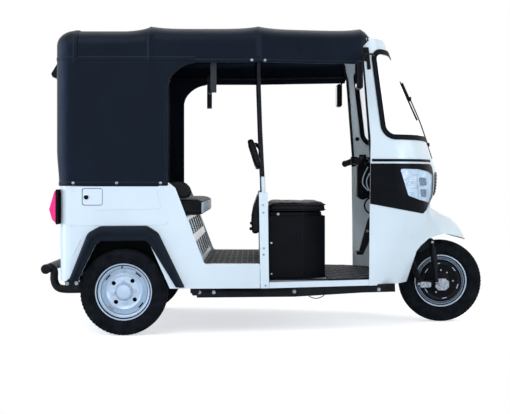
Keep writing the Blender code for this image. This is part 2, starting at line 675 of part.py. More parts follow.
def rear_body():
    side = rounded([
        (-1.30, TAIL_BOTTOM, 0), (-0.80, TAIL_BOTTOM, 0), (-0.80, BODY_BOTTOM, 0), (BODY_FRONT_X, BODY_BOTTOM, 0),
        (BODY_FRONT_X, REAR_FLOOR, 0), (-0.372, REAR_FLOOR, 0.02), (*SHOULDER_FRONT, 0.02), (*SHOULDER, 0.015),
        (-0.64, BODY_TOP, 0.02), (-1.30, BODY_TOP, 0),
    ], 3)
    shell = extruded(body_plan(0, BODY_FRONT_X + 0.05), 0.1, 1.0, "XY")
    shell = cut(shell, extruded(body_plan(BODY_WALL, 0.3), 0.0, 1.1, "XY"))
    shell = common(shell, side_prism(side))
    (x0, z0), (x1, z1) = FUEL_DOOR
    door_hole = [(x0, z0, 0.012), (x1, z0, 0.012), (x1, z1, 0.012), (x0, z1, 0.012)]
    hatch_hole = [(HATCH[0][0], HATCH[0][1], 0.03), (HATCH[1][0], HATCH[0][1], 0.03),
                  (HATCH[1][0], HATCH[1][1], 0.03), (HATCH[0][0], HATCH[1][1], 0.03)]
    shell = cut(
        shell, side_prism(rounded(ARCH_INNER[:1] + ARCH_INNER[1:] + ((-0.9, 0.1, 0),), 4)),
        extruded(rounded(door_hole, 3), -0.7, -0.5, "XZ"),
        extruded(rounded(hatch_hole, 4), -1.3, -1.1, "YZ"),
    )
    lip = [(-0.385, 0.406), (-0.385, REAR_FLOOR - 0.0002), (BODY_FRONT_X - 0.0002, REAR_FLOOR - 0.0002),
           (BODY_FRONT_X - 0.0002, 0.406)]
    shell = union(
        shell, extruded(lip, -0.598, -0.5575, "XZ"), extruded(lip, 0.5575, 0.598, "XZ"),
    )
    finish(shell, "body_shell", "white_paint")

    d = DOOR_GAP
    door = rounded([(x0 + d, z0 + d, 0.012), (x1 - GAP, z0 + d, 0.012), (x1 - GAP, z1 - d, 0.012),
                    (x0 + d, z1 - d, 0.012)], 3)
    door = extruded(door, -BODY_HALF, -BODY_HALF + 0.009, "XZ")
    finish(door, "fuel_door", "white_paint")
    (y0, z0), (y1, z1) = HATCH
    panel = rounded([(y0 + d, z0 + d, 0.03), (y1 - d, z0 + d, 0.03), (y1 - d, z1 - GAP, 0.03),
                     (y0 + d, z1 - GAP, 0.03)], 4)
    panel = extruded(panel, BODY_REAR_X, BODY_REAR_X + 0.010, "YZ")
    handle = box((BODY_REAR_X - 0.016, -0.06, 0.470), (BODY_REAR_X + 0.004, 0.06, 0.492), 0.004)
    finish(union(panel, handle), "rear_hatch", "white_paint")

    def flare():
        flange = extruded(rounded(ARCH_OUTER, 4), -0.652, -BODY_HALF - GAP, "XZ")
        arch = side_prism(rounded(ARCH_INNER[:1] + ARCH_INNER[1:] + ((-0.9, 0.1, 0),), 4))
        return cut(flange, arch)

    both_sides(flare, "wheel_flare", "black_plastic")

    def wheelhouse():
        inner = [(-1.120, 0.375, 0), (-1.025, 0.560, 0.03), (-0.980, 0.590, 0.03), (-0.700, 0.592, 0.03),
                 (-0.640, 0.560, 0.03), (-0.560, 0.375, 0)]
        outer = [(-1.130, 0.375, 0), (-1.032, 0.568, 0.03), (-0.984, 0.600, 0.03), (-0.696, 0.602, 0.03),
                 (-0.632, 0.568, 0.03), (-0.550, 0.375, 0)]
        cover = extruded(rounded(outer, 3), -0.6065, -0.435, "XZ")
        return cut(cover, extruded(rounded([(a, b - 0.02 if b < 0.38 else b, r) for a, b, r in inner], 3), -0.7, -0.441, "XZ"))

    both_sides(wheelhouse, "wheelhouse", "black_steel")


def rear_seat():
    panel = [(BENCH_FOOT_X, REAR_FLOOR + GAP), (-0.470, 0.667), (-1.02, 0.667), (-1.02, 0.655), (-0.479, 0.655),
             (BENCH_FOOT_X - 0.012, REAR_FLOOR + GAP)]
    base = extruded(panel, -0.602, 0.602, "XZ")
    slots = []
    for k in range(4):
        z = 0.475 + 0.038 * k
        for y in (-0.30, 0.30):
            slots.append(box((-0.52, y - 0.22, z), (-0.33, y + 0.22, z + 0.010)))
    finish(cut(base, *slots), "seat_base", "white_paint")
    cushion = extruded(rounded([
        (-0.395, 0.6675, 0.01), (-0.388, 0.725, 0.03), (-0.405, 0.760, 0.03), (-0.90, 0.745, 0.02), (-0.90, 0.6675, 0),
    ], 4), -0.596, 0.596, "XZ")
    finish(cushion, "rear_seat_cushion", "seat_vinyl")
    back = extruded(rounded([
        (-0.905, 0.735, 0.02), (-1.005, 1.245, 0.04), (-1.085, 1.245, 0.03), (-1.015, 0.6675, 0), (-0.9055, 0.6675, 0),
    ], 4), -0.545, 0.545, "XZ")
    finish(back, "rear_seat_back", "seat_vinyl")

    def armrest():
        pad = extruded(rounded([
            (-0.490, 0.7605, 0.01), (-0.470, 0.850, 0.04), (-0.510, 0.885, 0.04), (-0.86, 0.885, 0.03),
            (-0.86, 0.7605, 0.01),
        ], 4), -0.5901, -0.545, "XZ")
        return pad

    both_sides(armrest, "armrest", "seat_vinyl")


def floors():
    deck = extruded([
        (BENCH_FOOT_X + 0.0005, REAR_FLOOR), (-0.004, REAR_FLOOR), (-0.004, SILL_TOP + GAP), (-0.016, SILL_TOP + GAP),
        (-0.016, REAR_FLOOR - DECK), (BENCH_FOOT_X + 0.0005, REAR_FLOOR - DECK),
    ], -0.557, 0.557, "XZ")
    finish(deck, "rear_floor", "deck_rubber")
    plan = [(0.0018, -0.600), (0.599, -0.4550), (0.599, -0.435), (0.66, -0.405), (0.70, -0.375)]
    plan += [(x, -y) for x, y in reversed(plan)]
    pan = extruded(plan, BODY_BOTTOM, SILL_TOP, "XY")
    hollow = [(0.02, -0.582), (0.587, -0.443), (0.587, -0.423), (0.655, -0.393), (0.688, -0.368)]
    hollow += [(x, -y) for x, y in reversed(hollow)]
    pan = cut(pan, extruded(hollow, 0.2, SILL_TOP - DECK, "XY"))
    finish(pan, "front_floor", "white_paint")
    mat = [(0.352, -0.495), (0.585, -0.435), (0.64, -0.395), (0.690, -0.360)]
    mat += [(x, -y) for x, y in reversed(mat)]
    finish(extruded(mat, SILL_TOP + GAP, FRONT_FLOOR, "XY"), "front_mat", "deck_rubber")

    def post():
        lean = [(-0.0485, BODY_BOTTOM), (0.0015 - 0.0006, BODY_BOTTOM), (-0.0065, POST_TOP), (-0.0575, POST_TOP)]
        return extruded(lean, -0.604, -0.5588, "XZ")

    both_sides(post, "side_post", "white_paint")


def driver_seat():
    low = SILL_TOP + GAP
    plan = [(0.000, -0.43), (0.200, -0.43), (0.340, -0.33), (0.340, 0.33), (0.200, 0.43), (0.000, 0.43)]
    seat_box = extruded(rounded([(x, y, 0.015) for x, y in plan], 3), low, 0.69, "XY")
    inner = [(0.012, -0.418), (0.194, -0.418), (0.328, -0.324), (0.328, 0.324), (0.194, 0.418), (0.012, 0.418)]
    seat_box = cut(seat_box, extruded(inner, low + 0.012, 0.9, "XY"))
    finish(seat_box, "driver_seat_box", "black_plastic")
    top = extruded(rounded([(0.004, -0.435, 0.04), (0.21, -0.435, 0.05), (0.355, -0.335, 0.05), (0.355, 0.335, 0.05),
                            (0.21, 0.435, 0.05), (0.004, 0.435, 0.04)], 4), 0.6903, 0.775, "XY")
    finish(top, "driver_cushion", "seat_vinyl")
    pad = extruded(rounded([
        (-0.075, 0.577, 0.02), (-0.018, 0.577, 0.03), (-0.010, 0.70, 0.05), (-0.055, 0.827, 0.03), (-0.100, 0.815, 0.03),
        (-0.065, 0.70, 0.05),
    ], 4), -0.40, 0.40, "XZ")
    head = extruded(rounded([
        (-0.075, 0.975, 0.02), (-0.035, 0.975, 0.02), (-0.090, 1.165, 0.02), (-0.132, 1.160, 0.02),
    ], 4), -0.26, 0.26, "XZ")
    r = 0.012
    cross = [(-0.036, 0.5583, 0.785), (-0.036, 0.520, 0.785), (-0.1125, 0.43, 0.785)]
    cross += [(x, -y, z) for x, y, z in reversed(cross)]
    pieces = [tube(cross, r, 2, 0.05)]
    for side in (-1, 1):
        pieces.append(tube([(-0.1125, side * 0.16, 0.785), (-0.098, side * 0.16, 0.93), (-0.1145, side * 0.16, 1.002)], r, 2, 0.05))
        pieces.append(box((-0.113, side * 0.16 - 0.03, 0.772), (-0.0948, side * 0.16 + 0.03, 0.800)))
        plate = [(-0.0831, 1.000), (-0.118, 0.990), (-0.1435, 1.125), (-0.1216, 1.125)]
        pieces.append(extruded(plate, side * 0.16 - 0.03, side * 0.16 + 0.03, "XZ"))
    finish(union(*pieces), "partition_frame", "black_steel")
    finish(pad, "driver_backrest", "seat_vinyl")
    finish(head, "driver_headrest", "seat_vinyl")


def bumper_and_lamps():
    bar = tube([(-1.345, -0.39, 0.370), (-1.345, 0.39, 0.370)], 0.027, 2)
    pieces = [bar]
    for side in (-1, 1):
        pieces.append(tube([(-1.150, side * 0.25, 0.300), (-1.26, side * 0.25, 0.292), (-1.325, side * 0.25, 0.315),
                            (-1.343, side * 0.25, 0.365)], 0.018, 1, 0.05))
        pieces.append(box((-1.19, side * 0.25 - 0.035, 0.284), (-1.13, side * 0.25 + 0.035, 0.3425)))
    finish(union(*pieces), "rear_bumper", "black_steel")

    def tail_lamp():
        wedge = extruded(rounded([
            (-1.18, 0.651, 0), (-1.18, 0.848, 0), (-1.235, 0.848, 0.01), (-1.268, 0.765, 0.012), (-1.268, 0.725, 0.012),
            (-1.242, 0.651, 0.01),
        ], 3), -0.612, -0.455, "XZ")
        return cut(wedge, extruded(body_plan(-GAP, 0.0), 0.5, 1.0, "XY"))

    both_sides(tail_lamp, "tail_lamp", "red_lens")


CROSS_POINTS = 4


def canopy_section(x, inset, low):
    """Points in Y and Z across the soft top at this X, from the right-hand hem over the top to the left."""
    half = BODY_HALF
    if x > -0.06:
        half -= FRONT_TAPER * (x + 0.06) / 0.66
    top = CANOPY_TOP
    round_r = CORNER_R - inset
    behind = min(1.0, max(0.0, BODY_REAR_X + CORNER_R - x) / round_r)
    half -= round_r * (1 - math.sqrt(1 - behind ** 2))
    top -= round_r * (1 - math.sqrt(1 - behind ** 2))
    bows = sorted(BOW_X)
    sag = 0.0
    for a, b in zip(bows, bows[1:]):
        if a < x < b:
            t = (x - a) / (b - a)
            sag = 0.014 * 4 * t * (1 - t)
    if x > bows[-1]:
        sag = 0.035 * (x - bows[-1]) / (CANOPY_FRONT_X - bows[-1])
    half -= inset
    top -= inset + sag
    r = 0.085 - inset
    corner = []
    for k in range(CROSS_POINTS + 1):
        a = math.radians(90 * k / CROSS_POINTS)
        corner.append((-half + r - r * math.cos(a), top - r + r * math.sin(a)))
    middle = [(y, top + (CANOPY_CROWN - sag * 0.2) * (1 - (y / (half - r)) ** 2)) for y in (-0.30, -0.15, 0.0)]
    side = [(-half, low), (-half, (low + top - r) / 2)] + corner
    line = side + middle
    return line + [(-y, z) for y, z in reversed(line[:-1])]


def canopy_solid(inset, low, front):
    """The space under the soft top's surface moved inwards by inset, from its rear wall to front."""
    stations = [
        BODY_REAR_X + CORNER_R - (CORNER_R - inset) * math.cos(math.radians(angle)) for angle in (0, 15, 35, 60, 90)
    ]
    bows = sorted(BOW_X)
    for a, b in zip(bows, bows[1:]):
        stations += [a, a + (b - a) * 0.3, a + (b - a) * 0.7]
    stations += [bows[-1], 0.575, front]
    stations = sorted({round(x, 5) for x in stations})
    rings = []
    for x in stations:
        rings.append([(x, y, z) for y, z in canopy_section(x, inset, low)])
    return loft(rings)


def soft_top():
    outer = canopy_solid(0, 0.80, CANOPY_FRONT_X)
    inner = canopy_solid(CANOPY_WALL, 0.70, CANOPY_FRONT_X + 0.05)
    shell = cut(outer, inner)
    roof = common(duplicate(shell), box((-2, -2, CANOPY_FRINGE), (2, 2, 3)))
    finish(roof, "canopy_roof", "soft_top_vinyl")
    side = rounded([
        (-1.4, 0.8705, 0), (-0.589, 0.8705, 0), (-0.589, 1.465, 0), (-0.575, 1.530, 0.05), (-0.520, 1.572, 0.05),
        (-0.430, CANOPY_FRINGE - GAP, 0.0), (-1.4, CANOPY_FRINGE - GAP, 0),
    ], 4)
    side[1:1] = [Vector((-0.64, 0.8705)), Vector((-0.610, 0.8870)), Vector((-0.589, 0.8970))]
    wrap = common(shell, side_prism([p for p in side if (p - Vector((-0.589, 0.8705))).length > 0.001]))
    window = rounded([(-0.34, 1.12, 0.03), (0.34, 1.12, 0.03), (0.34, 1.42, 0.03), (-0.34, 1.42, 0.03)], 4)
    wrap = cut(wrap, extruded(window, -1.4, -1.1, "YZ"))
    finish(wrap, "canopy_wrap", "soft_top_vinyl")
    pane = [(y * (1 - GAP / 0.3), 1.27 + (z - 1.27) * (1 - GAP / 0.13)) for y, z in window]
    finish(extruded(pane, BODY_REAR_X + 0.001, BODY_REAR_X + 0.003, "YZ"), "rear_window", "glass")
    visor = extruded([
        (BODY_REAR_X - GAP, 1.613), (BODY_REAR_X - 0.040, 1.540), (BODY_REAR_X - 0.040, 1.522),
        (BODY_REAR_X - GAP, 1.488),
    ], -0.40, 0.40, "XZ")
    finish(visor, "rear_visor", "soft_top_vinyl")


def roof_frame():
    pieces = []
    bows = sorted(BOW_X)
    for x in bows:
        low = BODY_TOP + GAP if x < -0.5 else 1.45
        section = canopy_section(x, CANOPY_WALL + BOW_R + 0.0032, low)
        middle = len(section) // 2
        kept = [0, 2, 3, 4, 5, 6, 7, middle]
        kept += [len(section) - 1 - i for i in reversed(kept[:-1])]
        pieces.append(tube([(x, *section[i]) for i in kept], BOW_R, 1))
    for side in (-1, 1):
        rail = [(-1.12, side * 0.599, 1.63), (-0.06, side * 0.599, 1.63), (0.545, side * 0.503, 1.63)]
        pieces.append(tube(rail, 0.011, 1))
        post = [(-0.030, side * 0.583, POST_TOP + 0.0012), (-0.06, side * 0.599, 1.55), (-0.06, side * 0.599, 1.64)]
        pieces.append(tube(post, 0.0145, 1))
        pieces.append(tube([(0.545, side * 0.503, 1.64), (0.578, side * 0.497, 1.60), (0.578, side * 0.497, 1.01)], 0.011, 1))
    finish(union(*pieces), "roof_frame", "black_steel")


def controls():
    bar = [(0.478, -0.365, 1.010), (0.560, -0.225, 1.030), (0.618, -0.10, 1.035)]
    bar += [(x, -y, z) for x, y, z in reversed(bar)]
    top = axis_at(0.90)
    shroud = [(0.582, 0.985, 0.02), (0.600, 1.052, 0.02), (0.665, 1.052, 0.02), (0.745, 0.835, 0.02),
              (0.675, 0.800, 0.02)]
    pieces = [tube(bar, 0.0125, 2, 0.08), extruded(rounded(shroud, 3), -0.072, 0.072, "XZ")]
    for side in (-1, 1):
        inner, outer = Vector((0.530, side * 0.276, 1.0227)), Vector((0.476, side * 0.368, 1.0095))
        pieces.append(rod(inner, outer, 0.0175, sides=14))
        pieces.append(rod(inner, inner + (inner - outer).normalized() * 0.004, 0.021, sides=14))
        pieces.append(tube([(0.575, side * 0.200, 1.022), (0.590, side * 0.255, 1.008), (0.545, side * 0.335, 0.998)], 0.006, 1))
    body = cut(union(*pieces), rod(axis_at(0.70), axis_at(1.0063), STEM_R + GAP, sides=20))
    finish(body, "handlebar", "black_plastic")

    board = extruded([(0.7005, SILL_TOP + GAP), (0.7085, SILL_TOP + GAP), (0.7085, 0.79), (0.7005, 0.79)],
                     -0.365, 0.365, "XZ")
    finish(board, "toe_board", "white_paint")
    pedal = union(
        tube([(0.694, -0.13, 0.69), (0.640, -0.13, 0.665), (0.582, -0.13, 0.452)], 0.008, 1, 0.03),
        box((0.560, -0.165, 0.437), (0.603, -0.095, 0.452), 0.003, 1),
        box((0.6795, -0.15, 0.665), (0.7002, -0.11, 0.715), 0.002, 1),
    )
    finish(pedal, "brake_pedal", "black_steel")
    plan = [(p.x, p.y) for p in cowl_line(1.02, COWL_WALL / 2) if p.x > 0.74]
    plan = extruded(plan + [(x, -y) for x, y in reversed(plan[:-1])], 1.010, 1.032, "XY")
    shelf = cut(plan, cowl_shell(-0.01, 0.01 + COWL_WALL + 3 * GAP, 0.99, 1.06))
    panel = extruded(rounded([
        (0.755, 0.985, 0.01), (0.775, 1.055, 0.015), (0.800, 1.055, 0.01), (0.800, 0.985, 0.01),
    ], 3), -0.30, 0.30, "XZ")
    finish(union(shelf, panel), "dashboard", "black_plastic")


def tank():
    body = union(
        box((-1.16, -0.44, 0.620), (-1.03, 0.44, 0.72), 0.02),
        box((-1.04, -0.30, 0.656), (-1.0203, 0.30, 0.666)),
        tube([(-1.10, -0.40, 0.69), (-1.10, -0.50, 0.74), (-1.02, -0.582, 0.800)], 0.020, 1, 0.04),
        rod((-1.022, -0.580, 0.798), (-1.018, -0.594, 0.806), 0.030, sides=16),
    )
    finish(body, "fuel_tank", "black_steel")


def mirrors_and_wiper():
    def mirror():
        pane = box((0.505, -0.665, 1.43), (0.540, -0.565, 1.59), 0.012, 3)
        arm = tube([(0.528, -0.60, 1.56), (0.550, -0.585, 1.635), (0.610, -0.534, 1.645), (0.6188, -0.5042, 1.640)],
                   0.006, 1, 0.03)
        return union(pane, arm)

    both_sides(mirror, "mirror", "black_plastic")
    wiper = union(
        rod((1.0382, 0.0, 1.172), (1.062, 0.0, 1.176), 0.011, sides=12),
        tube([(1.056, 0.0, 1.172), (0.955, 0.0, 1.42), (0.925, 0.0, 1.435)], 0.005, 0),
        rod((0.9886, 0.0, 1.30), (0.871, 0.0, 1.56), 0.005, sides=6),
    )
    finish(wiper, "wiper", "black_steel")


def build():
    global PARTS
    clear_scene()
    PARTS = collection("tricycle")
    chassis()
    springs_and_axle()
    engine()
    wheels()
    fork()
    front_body()
    rear_body()
    rear_seat()
    floors()
    driver_seat()
    bumper_and_lamps()
    soft_top()
    roof_frame()
    controls()
    tank()
    mirrors_and_wiper()


build()
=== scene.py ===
"""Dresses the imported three-wheeled passenger tricycle: finishes on its frame, and its soft top, seats,
wheels, lamps and fittings as pieces that ride on its bodies."""

import math

import bmesh
import bpy
import numpy as np
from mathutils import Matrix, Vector


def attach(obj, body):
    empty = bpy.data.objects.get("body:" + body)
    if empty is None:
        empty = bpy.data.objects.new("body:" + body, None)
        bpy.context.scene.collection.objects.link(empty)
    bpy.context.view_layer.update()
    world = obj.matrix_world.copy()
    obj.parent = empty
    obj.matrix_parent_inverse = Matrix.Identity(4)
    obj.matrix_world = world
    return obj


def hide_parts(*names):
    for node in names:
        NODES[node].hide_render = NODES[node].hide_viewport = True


bl_info = {
    "name": "Passenger tricycle",
    "version": (1, 0, 0),
    "blender": (4, 5, 0),
    "location": "View3D > Sidebar > Tricycle",
    "description": "Builds the finishes and soft goods of a three-wheeled passenger tricycle",
    "category": "Object",
}

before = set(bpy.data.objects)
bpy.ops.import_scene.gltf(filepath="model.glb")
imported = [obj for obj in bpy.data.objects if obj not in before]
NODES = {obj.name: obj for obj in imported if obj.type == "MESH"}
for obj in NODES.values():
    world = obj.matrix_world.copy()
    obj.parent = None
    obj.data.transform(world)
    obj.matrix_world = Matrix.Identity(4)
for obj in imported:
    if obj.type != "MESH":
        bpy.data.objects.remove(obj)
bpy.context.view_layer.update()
MM = 0.001

CHASSIS = "chassis"
STEERING = "steering"
FRONT_WHEEL = "front_wheel"
REAR_LEFT = "rear_wheel_left"
REAR_RIGHT = "rear_wheel_right"
FUEL_DOOR = "fuel_door"
HATCH = "rear_hatch"
UP = Vector((0, 0, 1))


def linear(code):
    """The linear RGBA of an sRGB hex colour."""
    parts = [int(code[i:i + 2], 16) / 255 for i in (1, 3, 5)]
    return tuple(c / 12.92 if c <= 0.04045 else ((c + 0.055) / 1.055) ** 2.4 for c in parts) + (1.0,)


def linked(name, data):
    """A new object in the scene."""
    obj = bpy.data.objects.new(name, data)
    bpy.context.scene.collection.objects.link(obj)
    return obj


def add(tree, kind, inputs=(), stops=(), **settings):
    """Adds a node, sets its properties, gives each input a value or a link, and sets a ramp's two stops.
    A node given as a value is linked by its first output."""
    node = tree.nodes.new(kind)
    for name, value in settings.items():
        setattr(node, name, value)
    for name, value in dict(inputs).items():
        if isinstance(value, bpy.types.Node):
            value = value.outputs[0]
        if isinstance(value, bpy.types.NodeSocket):
            tree.links.new(value, node.inputs[name])
        else:
            node.inputs[name].default_value = value
    for i, (place, colour) in enumerate(stops):
        node.color_ramp.elements[i].position = place
        node.color_ramp.elements[i].color = colour
    return node


def new_material(name):
    """An empty node material, and its tree."""
    made = bpy.data.materials.new(name)
    made.use_nodes = True
    made.node_tree.nodes.clear()
    return made, made.node_tree


def shade(colour, times, lift=0.0):
    """A colour made paler or darker."""
    return tuple(c * times + lift for c in colour[:3]) + (1.0,)


def blotches(tree, size, stretch=(1, 1, 1), detail=3.0):
    """Soft blotches about size metres across on the object's own coordinates, drawn out along the axes."""
    place = add(tree, "ShaderNodeTexCoord").outputs["Object"]
    scaled = add(tree, "ShaderNodeMapping", {"Vector": place, "Scale": tuple(1 / s for s in stretch)})
    return add(tree, "ShaderNodeTexNoise", {"Vector": scaled, "Scale": 1 / size, "Detail": detail,
                                            "Roughness": 0.55})


def pebbles(size, edge=0.2):
    """Raised cells about size metres across with grooves between them, as a pattern for surface."""
    def lay(tree):
        place = add(tree, "ShaderNodeTexCoord").outputs["Object"]
        cells = add(tree, "ShaderNodeTexVoronoi", {"Vector": place, "Scale": 1 / size},
                    feature="DISTANCE_TO_EDGE")
        return add(tree, "ShaderNodeMapRange", {"Value": cells, "From Max": edge})
    return lay


def facets(size):
    """Square prisms about size metres across, as a pattern for surface."""
    def lay(tree):
        place = add(tree, "ShaderNodeTexCoord").outputs["Object"]
        return add(tree, "ShaderNodeTexVoronoi", {"Vector": place, "Scale": 1 / size}, distance="CHEBYCHEV")
    return lay


def ribs_of(size):
    """Level ribs that repeat every size metres, as a pattern for surface."""
    def lay(tree):
        place = add(tree, "ShaderNodeTexCoord").outputs["Object"]
        waves = add(tree, "ShaderNodeTexWave", {"Vector": place, "Scale": 1 / (2 * math.pi * size)},
                    bands_direction="Z")
        return waves.outputs["Fac"]
    return lay


def surface(name, dark, pale, cloud, rough, grain, depth, tone=None, folds=None, **constants):
    """A material that drifts from dark to pale in blotches of size cloud, varies its roughness between the
    two in rough, and has a relief of size grain and that depth. tone and grain may be patterns instead,
    folds is the size and depth of a softer relief, and constants are the shader's own inputs."""
    made, tree = new_material(name)
    tone = tone(tree) if tone else blotches(tree, cloud)
    colour = add(tree, "ShaderNodeValToRGB", {"Fac": tone}, stops=((0.35, dark), (0.72, pale)))
    worn = add(tree, "ShaderNodeMapRange", {"Value": blotches(tree, cloud * 0.3), "To Min": rough[0],
                                            "To Max": rough[1]})
    height = grain(tree) if callable(grain) else blotches(tree, grain, detail=1.0)
    relief = {"Height": height, "Distance": depth, "Strength": 0.6}
    if folds:
        waves = blotches(tree, folds[0], (0.7, 0.7, 2.2), 4.0)
        relief["Normal"] = add(tree, "ShaderNodeBump", {"Height": waves, "Distance": folds[1],
                                                        "Strength": 0.55})
    named = {label.replace("_", " "): value for label, value in constants.items()}
    shader = add(tree, "ShaderNodeBsdfPrincipled", {
        "Base Color": colour, "Roughness": worn, "Normal": add(tree, "ShaderNodeBump", relief), **named})
    add(tree, "ShaderNodeOutputMaterial", {"Surface": shader})
    return made


def see_through(name, film, dusty, share):
    """Glass or film: clear, with a sharp reflection, and a faintly glowing painted reflection over that
    share.
    """
    made, tree = new_material(name)
    worn = add(tree, "ShaderNodeMapRange", {"Value": blotches(tree, 0.09), "To Min": dusty,
                                            "To Max": dusty + 0.05})
    glass = add(tree, "ShaderNodeBsdfPrincipled", {"Base Color": film, "Roughness": worn, "IOR": 1.02,
                                                   "Transmission Weight": 1.0, "Specular IOR Level": 0.6})
    # A painted reflection: an opaque layer of the film's colour that glows faintly, mixed over that share.
    painted_reflection = add(tree, "ShaderNodeBsdfPrincipled", {"Base Color": film, "Roughness": worn,
                                                  "Emission Color": film, "Emission Strength": 0.35})
    clear = add(tree, "ShaderNodeBsdfTransparent", {"Color": (1, 1, 1, 1)})
    edge = add(tree, "ShaderNodeMapRange", {"Value": add(tree, "ShaderNodeFresnel", {"IOR": 1.5}),
                                            "To Min": 0.05})
    bare = add(tree, "ShaderNodeMixShader", {0: edge, 1: clear, 2: glass})
    mixed = add(tree, "ShaderNodeMixShader", {0: share, 1: bare, 2: painted_reflection})
    add(tree, "ShaderNodeOutputMaterial", {"Surface": mixed})
    return made


MATERIALS = {}


def paint(obj, name):
    """Gives every slot of obj the material, and all its faces."""
    if not obj.data.materials:
        obj.data.materials.append(MATERIALS[name])
    for i in range(len(obj.data.materials)):
        obj.data.materials[i] = MATERIALS[name]


NODE_FINISH = {
    "enamel": ("body_shell", "fuel_door", "rear_hatch", "side_post_left", "side_post_right", "front_floor",
               "toe_board", "seat_base", "lower_cowl", "upper_cowl"),
    "powder": ("chassis_frame", "rear_axle", "leaf_spring_left", "leaf_spring_right", "fork",
               "partition_frame", "rear_bumper", "roof_frame", "brake_pedal", "fuel_tank", "wiper"),
    "plastic": ("black_band", "driver_seat_box", "dashboard", "handlebar", "mirror_left", "mirror_right"),
    "flare": ("wheel_flare_left", "wheel_flare_right"),
    "seal": ("windscreen_seal", "wheelhouse_left", "wheelhouse_right"),
    "canvas": ("canopy_roof", "canopy_wrap", "rear_visor"),
    "leatherette": ("driver_cushion", "driver_backrest", "driver_headrest", "rear_seat_cushion",
                    "rear_seat_back", "armrest_left", "armrest_right"),
    "tyre": ("front_tyre", "rear_tyre_left", "rear_tyre_right"),
    "silver": ("front_rim", "rear_rim_left", "rear_rim_right"),
    "glass": ("windscreen",),
    "film": ("rear_window",),
    "lamp": ("headlamp_left", "headlamp_right"),
    "red": ("tail_lamp_left", "tail_lamp_right"),
    "floor": ("rear_floor", "front_mat"),
    "alloy": ("engine",),
}


